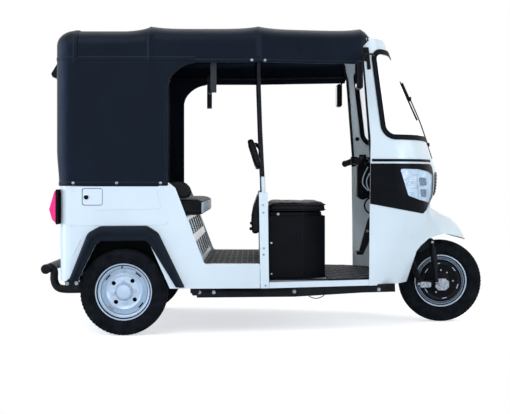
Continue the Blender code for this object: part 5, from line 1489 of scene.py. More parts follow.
def build_front_suspension():
    centre = FRONT_AXLE
    plate = bmesh.new()
    section = [(0.0156, 0.024), (0.116, 0.024), (0.124, 0.027), (0.126, 0.034), (0.126, 0.042),
               (0.121, 0.047), (0.108, 0.045), (0.100, 0.040), (0.062, 0.040), (0.052, 0.050),
               (0.0156, 0.050)]
    turned(plate, [(r, -a) for r, a in reversed(section)], centre, "Y", 72)
    slots = bmesh.new()
    for degrees in (100, 42, -18, -78, 214, 145):
        at = round_axle(centre, -1, 0.112, degrees, 0)
        along = Vector((-math.sin(math.radians(degrees)), 0, math.cos(math.radians(degrees))))
        out = Vector((along.z, 0, -along.x))
        corners = [at + along * a + out * b for a, b in flat_bar(15 * MM, 2 * MM)]
        slab(slots, [Vector((p.x, p.z)) for p in corners], -0.0478, -0.0440, "XZ")
    piece("brake_plate_slots", slots, "silver", STEERING)
    legs, silver, bolts = bmesh.new(), bmesh.new(), []
    for side in (-1, 1):
        low = Vector((1.068, side * 0.125, 0.262))
        high = Vector((1.040, side * 0.125, 0.515))
        for a, b, r in ((0.0, 0.36, 0.0135), (0.34, 0.42, 0.021), (0.42, 0.80, 0.0185),
                        (0.80, 0.86, 0.0215), (0.86, 1.0, 0.012)):
            strand(legs, [low.lerp(high, a), low.lerp(high, b)], circle(r, 20))
        for k in range(7):
            t = 0.45 + 0.05 * k
            strand(legs, [low.lerp(high, t), low.lerp(high, t + 0.018)], circle(0.0205, 20))
        outline = rounded([(0.858, 0.578, 0.008), (0.985, 0.545, 0.02), (1.048, 0.537, 0.012),
                           (1.060, 0.505, 0.012), (1.025, 0.488, 0.02), (0.965, 0.440, 0.03),
                           (0.905, 0.500, 0.02), (0.862, 0.520, 0.008)], 4)
        inner, outer = sorted((side * 0.098, side * 0.104))
        slab(legs, outline, inner, outer, "XZ", 0.8 * MM)
        strand(legs, [high + Vector((0, -side * 0.028, 0)), high + Vector((0, side * 0.010, 0))],
               circle(0.013, 16))
        strand(legs, [low + Vector((0, -side * 0.016, 0)), low + Vector((0, side * 0.006, 0))],
               circle(0.013, 16))
        inner, outer = sorted((side * 0.1172, side * 0.1235))
        bar = rounded([(0.966, 0.226, 0.008), (1.034, 0.229, 0.008), (1.034, 0.262, 0.008),
                       (0.966, 0.264, 0.008)], 3)
        slab(silver, bar, inner, outer, "XZ", 0.8 * MM)
        inner, outer = sorted((side * 0.1172, side * 0.1265))
        octagon = rounded([(1.078, 0.284, 0.004), (1.124, 0.284, 0.006), (1.146, 0.264, 0.006),
                           (1.146, 0.230, 0.006), (1.124, 0.210, 0.006), (1.080, 0.210, 0.006),
                           (1.060, 0.230, 0.008), (1.064, 0.266, 0.008)], 2)
        slab(silver, octagon, inner, outer, "XZ", 0.8 * MM)
        for x, z, y in ((1.090, 0.246, 0.1262), (1.118, 0.246, 0.1262), (0.990, 0.244, 0.1232),
                        (0.957, 0.250, 0.1185), (1.040, 0.515, 0.1345), (1.068, 0.262, 0.1300)):
            bolts.append((Vector((x, side * y, z)), side))
    bolts += [(Vector((x, -0.0405, z)), -1) for x, z in ((1.111, 0.330), (1.150, 0.315), (1.188, 0.262),
                                                         (1.080, 0.190))]
    piece("front_shocks", legs, "powder", STEERING)
    piece("brake_plate", plate, "powder", STEERING)
    piece("front_links", silver, "zinc", STEERING)
    fittings("front_link_bolts", pattern(hexagon, 6.5 * MM, 6 * MM), [p for p, _ in bolts],
             [Vector((0, s, 0)) for _, s in bolts], Vector((1, 0, 0)), "zinc", STEERING)
    cable = bmesh.new()
    strand(cable, smooth([(0.880, -0.108, 0.545), (0.900, -0.114, 0.470), (0.925, -0.1165, 0.390),
                          (0.948, -0.1165, 0.310), (0.962, -0.1165, 0.272)], 24), circle(3 * MM, 8))
    piece("front_brake_cable", cable, "seal", STEERING)


# The front body's half sections at each height, from the rear edge to the middle.
COWL_SECTIONS = {
    0.265: ((0.60, 0.455), (0.70, 0.412), (0.78, 0.335), (0.84, 0.25), (0.885, 0.16), (0.905, 0.08),
            (0.91, 0.0)),
    0.420: ((0.60, 0.465), (0.72, 0.432), (0.83, 0.345), (0.91, 0.26), (0.99, 0.19), (1.04, 0.10),
            (1.06, 0.0)),
    0.530: ((0.60, 0.470), (0.75, 0.440), (0.90, 0.320), (1.03, 0.215), (1.15, 0.165), (1.24, 0.10),
            (1.268, 0.0)),
    0.590: ((0.60, 0.475), (0.77, 0.450), (0.92, 0.340), (1.03, 0.225), (1.14, 0.155), (1.22, 0.09),
            (1.243, 0.0)),
    0.663: ((0.60, 0.480), (0.78, 0.462), (0.93, 0.370), (1.01, 0.260), (1.09, 0.150), (1.155, 0.08),
            (1.177, 0.0)),
    0.733: ((0.60, 0.490), (0.79, 0.478), (0.92, 0.410), (0.985, 0.300), (1.018, 0.18), (1.034, 0.09),
            (1.038, 0.0)),
    0.765: ((0.60, 0.495), (0.79, 0.484), (0.92, 0.416), (0.985, 0.304), (1.016, 0.18), (1.030, 0.09),
            (1.034, 0.0)),
    0.810: ((0.60, 0.500), (0.80, 0.490), (0.93, 0.423), (1.00, 0.310), (1.036, 0.19), (1.051, 0.09),
            (1.055, 0.0)),
    0.950: ((0.60, 0.512), (0.80, 0.500), (0.93, 0.430), (1.01, 0.310), (1.05, 0.19), (1.066, 0.09),
            (1.070, 0.0)),
    1.050: ((0.60, 0.520), (0.79, 0.505), (0.91, 0.435), (0.985, 0.310), (1.020, 0.19), (1.034, 0.09),
            (1.038, 0.0)),
    1.160: ((0.60, 0.520), (0.77, 0.502), (0.88, 0.430), (0.945, 0.310), (0.982, 0.19), (0.997, 0.09),
            (1.001, 0.0)),
    1.745: ((0.553, 0.500), (0.63, 0.468), (0.69, 0.385), (0.715, 0.280), (0.728, 0.17), (0.736, 0.08),
            (0.739, 0.0)),
}
COWL_POINTS = 30
COWL_WALL = 0.008
SCREEN_FOOT = 1.160
HEADER_TOP = 1.745
LEVELS = sorted(COWL_SECTIONS)
LINES = {}


def section_line(level):
    """The smooth half section at one of the given heights."""
    if level not in LINES:
        LINES[level] = smooth([Vector((*p, 0)) for p in COWL_SECTIONS[level]], COWL_POINTS)
    return LINES[level]


def slope_at(i, k):
    """How the k-th point of the section moves with height at level i."""
    def rise(low, high):
        a, b = LEVELS[low], LEVELS[high]
        return (section_line(b)[k] - section_line(a)[k]) / (b - a)
    if i == 0:
        return rise(0, 1)
    if LEVELS[i] >= SCREEN_FOOT - 1e-6:
        return rise(len(LEVELS) - 2, len(LEVELS) - 1)
    before, after = rise(i - 1, i), rise(i, i + 1)
    return Vector([(a + b) / 2 if a * b > 0 else 0.0 for a, b in zip(before, after)])


def cowl_line(z, inset):
    """The front body's half outline at height z, moved inwards by inset."""
    i = max(0, min(len(LEVELS) - 2, sum(level <= z for level in LEVELS) - 1))
    low, high = LEVELS[i], LEVELS[i + 1]
    h = high - low
    t = min(1.0, max(0.0, (z - low) / h))
    line = []
    for k in range(COWL_POINTS):
        a, b = section_line(low)[k], section_line(high)[k]
        line.append(a * (2 * t ** 3 - 3 * t * t + 1) + slope_at(i, k) * h * (t ** 3 - 2 * t * t + t)
                    + b * (3 * t * t - 2 * t ** 3) + slope_at(i + 1, k) * h * (t ** 3 - t * t))
    made = []
    for i, at_point in enumerate(line):
        along = line[min(i + 1, len(line) - 1)] - line[max(i - 1, 0)]
        if i == 0:
            along = Vector((1, 0, 0))
        if i == len(line) - 1:
            along = Vector((0, -1, 0))
        made.append(at_point + Vector((along.y, -along.x, 0)).normalized() * inset)
    return made


def cowl_shell(inset, wall, low, high, step=0.03):
    """The wall of the front body between two heights as a bmesh. inset moves its outside inwards."""
    shape = bmesh.new()
    heights = [low]
    stops = sorted({z for z in LEVELS if low < z < high} | {high})
    for stop in stops:
        start = heights[-1]
        count = max(1, round((stop - start) / (step if stop <= SCREEN_FOOT + 1e-6 else 0.12)))
        heights += [start + (stop - start) * k / count for k in range(1, count + 1)]
    rows = []
    for z in heights:
        outer, inner = cowl_line(z, inset), cowl_line(z, inset + wall)
        row = [(p.x, p.y, z) for p in outer] + [(p.x, -p.y, z) for p in reversed(outer[:-1])]
        row += [(p.x, -p.y, z) for p in inner] + [(p.x, p.y, z) for p in reversed(inner[:-1])]
        rows.append(row)
    grid = quads(shape, rows, close=True)
    count = len(rows[0])
    for row in (grid[0], grid[-1]):
        for k in range(count // 2 - 1):
            shape.faces.new((row[k], row[k + 1], row[count - 2 - k], row[count - 1 - k]))
    return shape


def side_prism(outline, low=-1.0, high=1.0):
    return lambda shape: slab(shape, outline, low, high, "XZ")


def skin(name, shell, finish, kept=None, holes=(), sharp=40):
    """A piece of the front body: the shell inside the kept prism, less the holes."""
    obj = piece(name, shell, finish, None, sharp)
    if kept:
        boolean(obj, kept, "INTERSECT")
    for hole in holes:
        boolean(obj, hole, "DIFFERENCE")
    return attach(finished(obj, finish, sharp), CHASSIS)


def grown(corners, distance):
    """A rounded outline with each side moved outwards by distance."""
    points = [Vector(c[:2]) for c in corners]
    area = sum(a.x * b.y - b.x * a.y for a, b in zip(points, points[1:] + points[:1]))
    turn = 1 if area > 0 else -1
    made = []
    for i, at_point in enumerate(points):
        before = (at_point - points[i - 1]).normalized()
        after = (points[(i + 1) % len(points)] - at_point).normalized()
        first = Vector((before.y, -before.x)) * turn
        second = Vector((after.y, -after.x)) * turn
        mitre = (first + second) / (1 + first.dot(second))
        made.append((*(at_point + mitre * distance), max(0.0, corners[i][2] + distance) if corners[i][2]
                     else 0))
    return made


WINDOW = ((0.601, 1.686, 0.062), (0.669, 1.144, 0.095), (1.30, 1.144, 0), (1.30, 1.686, 0))
LAMP = ((0.778, 0.971, 0.008), (0.888, 0.969, 0.05), (0.960, 0.956, 0.03), (0.999, 0.936, 0.015),
        (0.995, 0.820, 0.05), (0.982, 0.769, 0.010), (0.901, 0.7895, 0.05), (0.829, 0.815, 0.015))
LAMP_COLUMN = ((0.800, 0.942, 0.006), (0.884, 0.938, 0.006), (0.897, 0.801, 0.006), (0.842, 0.822, 0.006))
LAMP_CELLS = (((0.893, 0.924, 0.012), (0.946, 0.918, 0.016), (0.954, 0.872, 0.010), (0.903, 0.870, 0.008)),
              ((0.903, 0.852, 0.010), (0.952, 0.850, 0.010), (0.950, 0.800, 0.008), (0.912, 0.806, 0.010)))
ARCH = ((0.86, 0.15, 0), (0.86, 0.277, 0), (0.912, 0.470, 0.02), (0.940, 0.503, 0.012),
        (0.995, 0.545, 0.03), (1.10, 0.572, 0.08), (1.20, 0.556, 0.05), (1.40, 0.500, 0), (1.40, 0.15, 0))
BAND = ((0.50, 0.784, 0), (0.934, 0.703, 0.012), (0.962, 0.728, 0.02), (0.985, 0.762, 0.02),
        (1.006, 0.800, 0.03), (1.012, 0.930, 0.05), (0.995, 1.003, 0.03), (0.50, 1.003, 0))


def build_front_body(sizes):
    window = side_prism(rounded(WINDOW, 8))
    lamps = [side_prism(rounded(grown(LAMP, -3 * MM), 6), *sorted((s * 0.15, s * 0.7))) for s in (-1, 1)]
    shell = skin("front_body", cowl_shell(0, COWL_WALL, 0.277, HEADER_TOP), "enamel", None,
                 [side_prism(rounded(ARCH, 6)), window] + lamps)
    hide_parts("lower_cowl", "upper_cowl")
    holes = [side_prism(rounded(grown(LAMP, 1.2 * MM), 6), *sorted((s * 0.15, s * 0.7))) for s in (-1, 1)]
    band = skin("front_band", cowl_shell(-3 * MM, 4 * MM, 0.66, 1.02), "plastic",
                side_prism(rounded(BAND, 6)), holes)
    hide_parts("black_band")
    seal_in = side_prism(rounded(grown(WINDOW, -sizes.seal_width), 8))
    seal = skin("windscreen_gasket", cowl_shell(-5 * MM, 18 * MM, 1.12, 1.73), "seal",
                side_prism(rounded(grown(WINDOW, -0.3 * MM), 8)), [seal_in])
    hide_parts("windscreen_seal")
    pane = skin("windscreen_pane", cowl_shell(2 * MM, 5 * MM, 1.14, 1.72), "glass",
                side_prism(rounded(grown(WINDOW, 3 * MM - sizes.seal_width), 8)))
    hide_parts("windscreen")


def build_headlamps():
    for side, name in ((-1, "right"), (1, "left")):
        span = sorted((side * 0.15, side * 0.7))
        lens = skin("headlamp_lens_" + name, cowl_shell(-5 * MM, 3 * MM, 0.74, 0.99), "lens",
                    side_prism(rounded(LAMP, 6), *span))
        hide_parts("headlamp_" + name)
        cells = [side_prism(rounded(c, 5), *span) for c in LAMP_CELLS]
        frame = skin("headlamp_surround_" + name, cowl_shell(1 * MM, 7 * MM, 0.74, 0.99), "lamp white",
                     side_prism(rounded(grown(LAMP, -3.5 * MM), 6), *span),
                     [side_prism(rounded(LAMP_COLUMN, 3), *span)] + cells)
        for i, cell in enumerate(LAMP_CELLS):
            skin(f"headlamp_cell_{i}_{name}", cowl_shell(5 * MM, 6 * MM, 0.74, 0.99), "cell",
                 side_prism(rounded(grown(cell, 1 * MM), 5), *span))
        skin("headlamp_reflector_" + name, cowl_shell(7 * MM, 5 * MM, 0.74, 0.99), "lamp",
             side_prism(rounded(grown(LAMP_COLUMN, 2 * MM), 3), *span))
        ribs = bmesh.new()
        for k in range(9):
            z = 0.925 - 0.0125 * k
            start = 0.806 + 0.0045 * k
            spots = []
            for x in np.linspace(start, 0.886, 6):
                line = cowl_line(z, 6 * MM)
                j = min(range(len(line)), key=lambda i: abs(line[i].x - x))
                j = min(max(j, 1), len(line) - 2)
                j = j if line[j].x <= x else j - 1
                a, b = line[j], line[j + 1]
                t = (x - a.x) / max(b.x - a.x, 1e-6)
                spots.append(Vector((x, side * (a.y + (b.y - a.y) * t), z)))
            strand(ribs, spots, circle(2.6 * MM, 8))
        piece("headlamp_ribs_" + name, ribs, "lamp", CHASSIS)


def build_front_edges():
    corner = bmesh.new()
    outline = rounded([(0.545, 1.7440, 0.004), (0.545, 1.722, 0.008), (0.566, 1.690, 0.01),
                       (0.580, 1.690, 0.004), (0.580, 1.7440, 0.004)], 4)
    for side in (-1, 1):
        inner, outer = sorted((side * 0.4915, side * 0.5005))
        slab(corner, outline, inner, outer, "XZ", 1.2 * MM)
    piece("header_corners", corner, "enamel", CHASSIS)
    brackets, bolts, facing = bmesh.new(), [], []
    for side in (-1, 1):
        inner, outer = sorted((side * 0.5030, side * 0.5075))
        arm = rounded([(0.556, 1.690, 0.006), (0.590, 1.688, 0.006), (0.604, 1.560, 0.006),
                       (0.582, 1.556, 0.004), (0.578, 1.640, 0.01), (0.560, 1.600, 0.006),
                       (0.548, 1.640, 0.006)], 3)
        slab(brackets, arm, inner, outer, "XZ", 0.8 * MM)
        for x, z in ((0.572, 1.668), (0.593, 1.575)):
            bolts.append((x, side * 0.508, z))
            facing.append((0, side, 0))
    piece("pillar_brackets", brackets, "powder", CHASSIS)
    fittings("pillar_bracket_bolts", pattern(hexagon, 6 * MM, 5 * MM), bolts, facing, UP, "powder",
             CHASSIS)
    shelf = [p for p in cowl_line(1.02, COWL_WALL + 2 * MM) if p.x > 0.74]
    shelf = [Vector((p.x, p.y)) for p in shelf] + [Vector((p.x, -p.y)) for p in reversed(shelf[:-1])]
    top = bmesh.new()
    slab(top, shelf, 1.010, 1.032, "XY")
    panel = rounded([(0.750, 0.960, 0.01), (0.762, 1.046, 0.015), (0.800, 1.046, 0.01),
                     (0.800, 0.960, 0.01)], 4)
    slab(top, panel, -0.330, 0.330, "XZ", 3 * MM)
    obj = piece("dashboard_top", top, "plastic", CHASSIS)
    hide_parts("dashboard")


def on_front(y, z, proud):
    """The point of the front body at this Y and height, and proud of it by that much."""
    line = cowl_line(z, -proud)
    j = max(i for i in range(len(line) - 1) if line[i].y >= abs(y))
    t = (line[j].y - abs(y)) / max(line[j].y - line[j + 1].y, 1e-6)
    return Vector((line[j].x + (line[j + 1].x - line[j].x) * t, y, z))


def build_front_panels():
    """The stripe, the trim under the windscreen, and the grille with its slats."""
    stripe = skin("front_stripe", cowl_shell(-2.5 * MM, 4 * MM, 1.0145, 1.0300), "plastic",
                  side_prism(((0.608, 1.0), (0.990, 1.0), (0.990, 1.05), (0.608, 1.05))))
    panel = rounded([(-0.165, 1.040, 0.02), (0.165, 1.040, 0.02), (0.140, 1.128, 0.025),
                     (-0.140, 1.128, 0.025)], 6)
    upper = skin("front_upper_trim", cowl_shell(-6 * MM, 8 * MM, 1.035, 1.135), "plastic",
                 lambda shape: slab(shape, panel, 0.8, 1.3, "YZ"))
    grille = rounded([(-0.268, 0.812, 0.03), (0.268, 0.812, 0.03), (0.285, 0.955, 0.03),
                      (-0.285, 0.955, 0.03)], 6)
    lower = skin("front_grille", cowl_shell(-4.5 * MM, 6 * MM, 0.79, 0.97), "plastic",
                 lambda shape: slab(shape, grille, 0.8, 1.3, "YZ"))
    slats = bmesh.new()
    for k in range(6):
        z = 0.833 + 0.020 * k
        path = [Vector((on_front(y, z, 5 * MM).x, y, z))
                for y in np.linspace(-0.24, 0.24, 25)]
        strand(slats, path, strip(7 * MM, 3 * MM), Vector((1, 0, 0)))
    bars = piece("front_grille_slats", slats, "plastic", CHASSIS)


def build_mudguard_lip():
    lip = bmesh.new()
    lip_z, nose_x = 0.5305, 1.268
    line = [p for p in cowl_line(lip_z, -1.0 * MM) if p.x > 1.17]
    tip = [Vector((p.x, p.y, lip_z + (nose_x - p.x) * 0.27)) for p in line]
    tip += [Vector((p.x, -p.y, p.z)) for p in reversed(tip[:-1])]
    strand(lip, tip, circle(3 * MM, 8))
    piece("mudguard_lip", lip, "seal", CHASSIS)


def build_wiper():
    """The wiper's blade, bridge, arm and pivot."""
    screen = bmesh.new()
    blade = smooth([on_front(-0.12, 1.285, 8 * MM), on_front(-0.115, 1.36, 7 * MM),
                    on_front(-0.11, 1.45, 7 * MM), on_front(-0.105, 1.530, 8 * MM)], 20)
    strand(screen, blade, [(-4 * MM, -6 * MM), (4 * MM, -6 * MM), (4 * MM, 4 * MM), (-4 * MM, 4 * MM)],
           Vector((1, 0, 0.4)))
    bridge = [p + Vector((8 * MM, 0, 4 * MM)) for p in blade[9:-1]]
    strand(screen, bridge, [(-7 * MM, -6 * MM), (7 * MM, -6 * MM), (6 * MM, 6 * MM), (-6 * MM, 6 * MM)],
           Vector((1, 0, 0.4)))
    middle = blade[10] + Vector((14 * MM, 0, 6 * MM))
    brick(screen, middle - Vector((9 * MM, 8 * MM, 13 * MM)), middle + Vector((7 * MM, 8 * MM, 13 * MM)),
          2 * MM)
    pivot = on_front(-0.10, 1.130, 9 * MM)
    strand(screen, smooth([middle, middle.lerp(pivot, 0.5) + Vector((5 * MM, 0, 2 * MM)), pivot], 12),
           [(-5 * MM, -3 * MM), (5 * MM, -3 * MM), (4 * MM, 3 * MM), (-4 * MM, 3 * MM)],
           Vector((1, 0, 0.4)))
    turned(screen, [(0, -0.012), (0.014, -0.012), (0.014, 0.004), (0.010, 0.010), (0, 0.010)], pivot, "X",
           20)
    arm = piece("wiper_arm", screen, "plastic", CHASSIS)
    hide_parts("wiper")


def build_front_trim():
    build_front_panels()
    build_mudguard_lip()
    build_wiper()


ARCH_OUTER = ((-1.150, 0.330, 0), (-1.045, 0.596, 0.055), (-0.975, 0.636, 0.05), (-0.702, 0.638, 0.05),
              (-0.640, 0.598, 0.055), (-0.490, 0.286, 0))
ARCH_INNER = ((-1.101, 0.330, 0), (-1.002, 0.530, 0.02), (-0.972, 0.552, 0.02), (-0.715, 0.556, 0.02),
              (-0.686, 0.530, 0.02), (-0.537, 0.286, 0))
SIDE = 0.62                   # the body's side wall
BACK = -1.2195                # and its back wall
FUEL_DOOR_BOX = ((-1.078, 0.760), (-0.962, 0.856))
HATCH_BOX = ((-0.415, 0.440), (0.415, 0.822))
FLARE_SECTION = ((0.0, 4 * MM), (0.02, 17 * MM), (0.08, 25 * MM), (0.20, 31 * MM), (0.34, 32 * MM),
                 (0.46, 29 * MM), (0.55, 22 * MM), (0.60, 16 * MM), (0.68, 14 * MM), (0.90, 13 * MM),
                 (0.97, 12 * MM), (1.0, 9 * MM))


def build_wheel_flares():
    for side, name in ((-1, "right"), (1, "left")):
        shape = bmesh.new()
        outer, inner = rounded(ARCH_OUTER, 9), rounded(ARCH_INNER, 9)
        rows = []
        for a, b in zip(outer, inner):
            row = []
            for share, height in FLARE_SECTION:
                p = a.lerp(b, share)
                row.append(Vector((p.x, side * (SIDE + height), p.y)))
            for share in (1.0, 0.0):
                p = a.lerp(b, share)
                row.append(Vector((p.x, side * (SIDE + 0.4 * MM), p.y)))
            rows.append(row)
        grid = quads(shape, rows, close=True)
        shape.faces.new(grid[0])
        shape.faces.new(list(reversed(grid[-1])))
        flare = piece("flare_" + name, shape, "flare", CHASSIS, 50)
        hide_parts("wheel_flare_" + name)
        edge = bmesh.new()
        line = [Vector((p.x, side * (SIDE + 2.5 * MM), p.y)) for p in outer]
        strand(edge, line, circle(3.5 * MM, 8))
        piece("flare_piping_" + name, edge, "seal", CHASSIS)


def build_creases():
    """The pressed lines on the body's sides."""
    creases = bmesh.new()
    for side in (-1, 1):
        y = side * (SIDE - 1.2 * MM)
        for path in (((-1.020, 0.734), (-0.640, 0.738), (-0.623, 0.752), (-0.650, 0.850)),
                     ((-1.160, 0.6426), (-0.600, 0.648), (-0.583, 0.664)),
                     ((-1.134, 0.470), (-1.090, 0.559))):
            line = even([Vector((x, y, z)) for x, z in path], 40)
            strand(creases, line, circle(3.6 * MM, 10))
    piece("body_creases", creases, "enamel", CHASSIS, 60)


def build_gaskets():
    """The seals round the fuel door and the rear hatch."""
    (x0, z0), (x1, z1) = FUEL_DOOR_BOX
    gasket = bmesh.new()
    grow = 0.4 * MM
    hole = box_outline(x0 - grow, z0 - grow, x1 + grow, z1 + grow, 0.012)
    strand(gasket, [(p.x, -SIDE + 0.2 * MM, p.y) for p in hole], circle(1.7 * MM, 8), closed=True)
    (y0, z0), (y1, z1) = HATCH_BOX
    hole = box_outline(y0, z0, y1, z1, 0.03, 6)
    strand(gasket, [Vector((BACK, p.x, p.y)) for p in hole], circle(2.2 * MM, 8), closed=True)
    piece("door_gaskets", gasket, "gasket", CHASSIS)


def build_fuel_lock():
    """The fuel door's lock and its ring."""
    lock = bmesh.new()
    at_lock = (-1.055, -SIDE, 0.806)
    turned(lock, [(0, 0.002), (0.0135, 0.002), (0.0135, -0.003), (0.011, -0.006), (0.009, -0.0045),
                  (0, -0.0045)], at_lock, "Y", 28)
    brick(lock, (-1.0562, -0.6275, 0.799), (-1.0538, -0.624, 0.813), 0.3 * MM)
    piece("fuel_door_lock", lock, "plastic", FUEL_DOOR)
    ring = bmesh.new()
    turned(ring, [(0.0135, 0.001), (0.0165, 0.001), (0.0165, -0.0025), (0.0135, -0.0035)], at_lock, "Y", 28)
    piece("fuel_door_lock_ring", ring, "chrome", FUEL_DOOR)


def build_tail_lamps():
    """Wedge lenses on black bases."""
    bases = bmesh.new()
    wedge = rounded([(-1.2315, 0.653, 0.004), (-1.2315, 0.848, 0.004), (-1.2420, 0.838, 0.006),
                     (-1.2720, 0.735, 0.010), (-1.2540, 0.676, 0.006)], 4)
    for side, name in ((-1, "right"), (1, "left")):
        low, high = sorted((side * 0.448, side * 0.6185))
        plate = box_outline(low, 0.648, high, 0.851, 0.012, 4)
        slab(bases, plate, -1.2330, -1.2228, "YZ", 0.8 * MM)
        brick(bases, (-1.2235, min(side * 0.47, side * 0.56), 0.67),
              (BACK, max(side * 0.47, side * 0.56), 0.83), 1 * MM)
        lamp_shape = bmesh.new()
        slab(lamp_shape, wedge, *sorted((side * 0.453, side * 0.6135)), "XZ", 3 * MM)
        obj = piece("tail_lens_" + name, lamp_shape, "red", CHASSIS)
        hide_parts("tail_lamp_" + name)
    piece("tail_lamp_bases", bases, "seal", CHASSIS)


def build_hatch_fittings():
    """The hatch's latches and hinges, and the bolts of the hinges and door posts."""
    latches, bolts, facing = bmesh.new(), [], []
    for side in (-1, 1):
        inner, outer = sorted((side * 0.372, side * 0.404))
        brick(latches, (-1.2375, inner, 0.508), (BACK, outer, 0.612), 4 * MM)
        brick(latches, (-1.2455, inner + 5 * MM, 0.520), (-1.2365, outer - 5 * MM, 0.572), 3 * MM)
    piece("hatch_latches", latches, "plastic", HATCH)
    hinges = bmesh.new()
    for y in (-0.28, 0.28):
        strand(hinges, [(-1.2275, y - 0.045, 0.8265), (-1.2275, y + 0.045, 0.8265)], circle(6 * MM, 14))
        slab(hinges, [(y - 0.040, 0.829), (y + 0.040, 0.829), (y + 0.040, 0.850), (y - 0.040, 0.850)],
             -1.2235, BACK, "YZ", 0.6 * MM)
        bolts += [Vector((-1.2235, y - 0.022, 0.840)), Vector((-1.2235, y + 0.022, 0.840))]
        facing += [Vector((-1, 0, 0))] * 2
    piece("hatch_hinges", hinges, "powder", CHASSIS)

    for side in (-1, 1):
        for x, z in ((-0.0347, 0.7595), (-0.0312, 0.7166), (-0.0295, 0.510), (-0.0300, 0.4728),
                     (-0.0190, 0.2933)):
            bolts.append((x, side * 0.6045, z))
            facing.append((0, side, 0))
    fittings("body_bolts", pattern(hexagon, 4.6 * MM, 4 * MM), bolts, facing, UP, "zinc", CHASSIS)


def build_post_sleeves():
    """White sleeves and shelves at the feet of the door posts."""
    sleeves = bmesh.new()
    for side in (-1, 1):
        low, high = Vector((-0.0302, side * 0.5832, 0.8315)), Vector((-0.0338, side * 0.5852, 0.925))
        strand(sleeves, [low, low.lerp(high, 0.02), low.lerp(high, 0.98), high], circle(11.6 * MM, 20))
        shelf = [(-0.057, 0.8302), (-0.0068, 0.8302), (-0.010, 0.8345), (-0.054, 0.8345)]
        inner, outer = sorted((side * 0.5605, side * 0.6025))
        slab(sleeves, shelf, inner, outer, "XZ", 0.6 * MM)
    piece("post_sleeves", sleeves, "enamel", CHASSIS)


def build_underbody():
    """Sill beams, step loops, brackets and bolts under the body."""
    under = bmesh.new()
    zinc, face = [], []
    for side in (-1, 1):
        line = smooth([(0.225, side * 0.545, 0.236), (0.245, side * 0.545, 0.218),
                       (0.280, side * 0.545, 0.2085), (0.315, side * 0.545, 0.218),
                       (0.335, side * 0.545, 0.236)], 20)
        strand(under, [p - Vector((0, side * (p.x - 0.02) * 0.115, 0)) for p in line], circle(2.6 * MM, 8))
        plate = rounded([(-1.262, 0.300, 0.01), (-1.130, 0.312, 0.006), (-1.105, 0.286, 0.006),
                         (-1.175, 0.262, 0.01), (-1.245, 0.268, 0.012)], 4)
        inner, outer = sorted((side * 0.269, side * 0.275))
        slab(under, plate, inner, outer, "XZ", 0.8 * MM)
        for x, z in ((-1.215, 0.285), (-1.150, 0.288)):
            zinc.append((x, side * 0.2755, z))
            face.append((0, side, 0))
        for x, y in ((-0.404, 0.5862), (-0.320, 0.584), (0.660, 0.438), (0.150, 0.544)):
            zinc.append((x, side * y, 0.252))
            face.append((0, side, 0))
        beam = [(-0.4195, 0.5719, 0.2455), (0.150, 0.5285, 0.2455), (0.560, 0.4225, 0.2570),
                (0.757, 0.4225, 0.2625)]
        section = flat_bar(15 * MM, 24 * MM)
        strand(under, [Vector((x, side * y, z)) for x, y, z in beam], section, UP)
    piece("underbody_brackets", under, "powder", CHASSIS)
    fittings("underbody_bolts", pattern(hexagon, 8 * MM, 7 * MM), zinc, face, UP, "zinc", CHASSIS)


def build_body_details():
    build_creases()
    build_gaskets()
    build_fuel_lock()
    build_tail_lamps()
    build_hatch_fittings()
    build_post_sleeves()
    build_underbody()


def build_rear_bumper():
    """A thick tube with capped ends on two elbows, and the bolted plates that hold them to the body."""
    tube_x, tube_z, arm_y = -1.343, 0.368, 0.330
    bumper, bolts, facing = bmesh.new(), [], []
    strand(bumper, [(tube_x, -0.385, tube_z), (tube_x, 0.385, tube_z)], circle(27 * MM, 24))
    elbow = [(tube_x, 0.370), (-1.322, 0.376), (-1.303, 0.350), (-1.303, 0.300), (-1.285, 0.258),
             (-1.240, 0.242), (-1.120, 0.242)]
    plate = rounded([(-1.176, 0.268, 0.01), (-1.098, 0.268, 0.01), (-1.098, 0.343, 0.008),
                     (-1.146, 0.343, 0.008), (-1.176, 0.318, 0.008)], 3)
    for side in (-1, 1):
        end = [(0, 0.0), (0.0295, 0.0), (0.0295, 0.010), (0.026, 0.016), (0.010, 0.019), (0, 0.019)]
        turned(bumper, [(r, side * along) for r, along in end], (tube_x, side * 0.375, tube_z), "Y", 28)
        strand(bumper, smooth([Vector((x, side * arm_y, z)) for x, z in elbow], 36), circle(24 * MM, 18))
        brick(bumper, (-1.185, side * arm_y - 0.030, 0.240), (-1.130, side * arm_y + 0.030, 0.318), 3 * MM)
        strand(bumper, [(-1.158, side * arm_y, 0.288), (-1.158, side * 0.622, 0.288)],
               circle(12 * MM, 14))
        slab(bumper, plate, *sorted((side * 0.6215, side * 0.6265)), "XZ", 1 * MM)
        for x, z in ((-1.163, 0.308), (-1.110, 0.310)):
            bolts.append((x, side * 0.6265, z))
            facing.append((0, side, 0))
    obj = piece("rear_bumper_tubes", bumper, "powder", CHASSIS)
    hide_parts("rear_bumper")
    fittings("rear_bumper_bolts", pattern(hexagon, 8 * MM, 6 * MM), bolts, facing, UP, "zinc", CHASSIS)


def build_engine_fins():
    fins = bmesh.new()
    for k in range(9):
        x = -0.950 + 0.020 * k
        brick(fins, (x, -0.128, 0.352), (x + 5 * MM, 0.128, 0.463), 1.2 * MM)
    piece("engine_fins", fins, "alloy", CHASSIS)
    bolts = [round_axle((-1.05, 0.2352, 0.40), -1, 0.078, 60 * k, 0) for k in range(6)]
    fittings("engine_cover_bolts", pattern(hexagon, 6 * MM, 5 * MM), bolts, Vector((0, -1, 0)), UP, "zinc",
             CHASSIS)


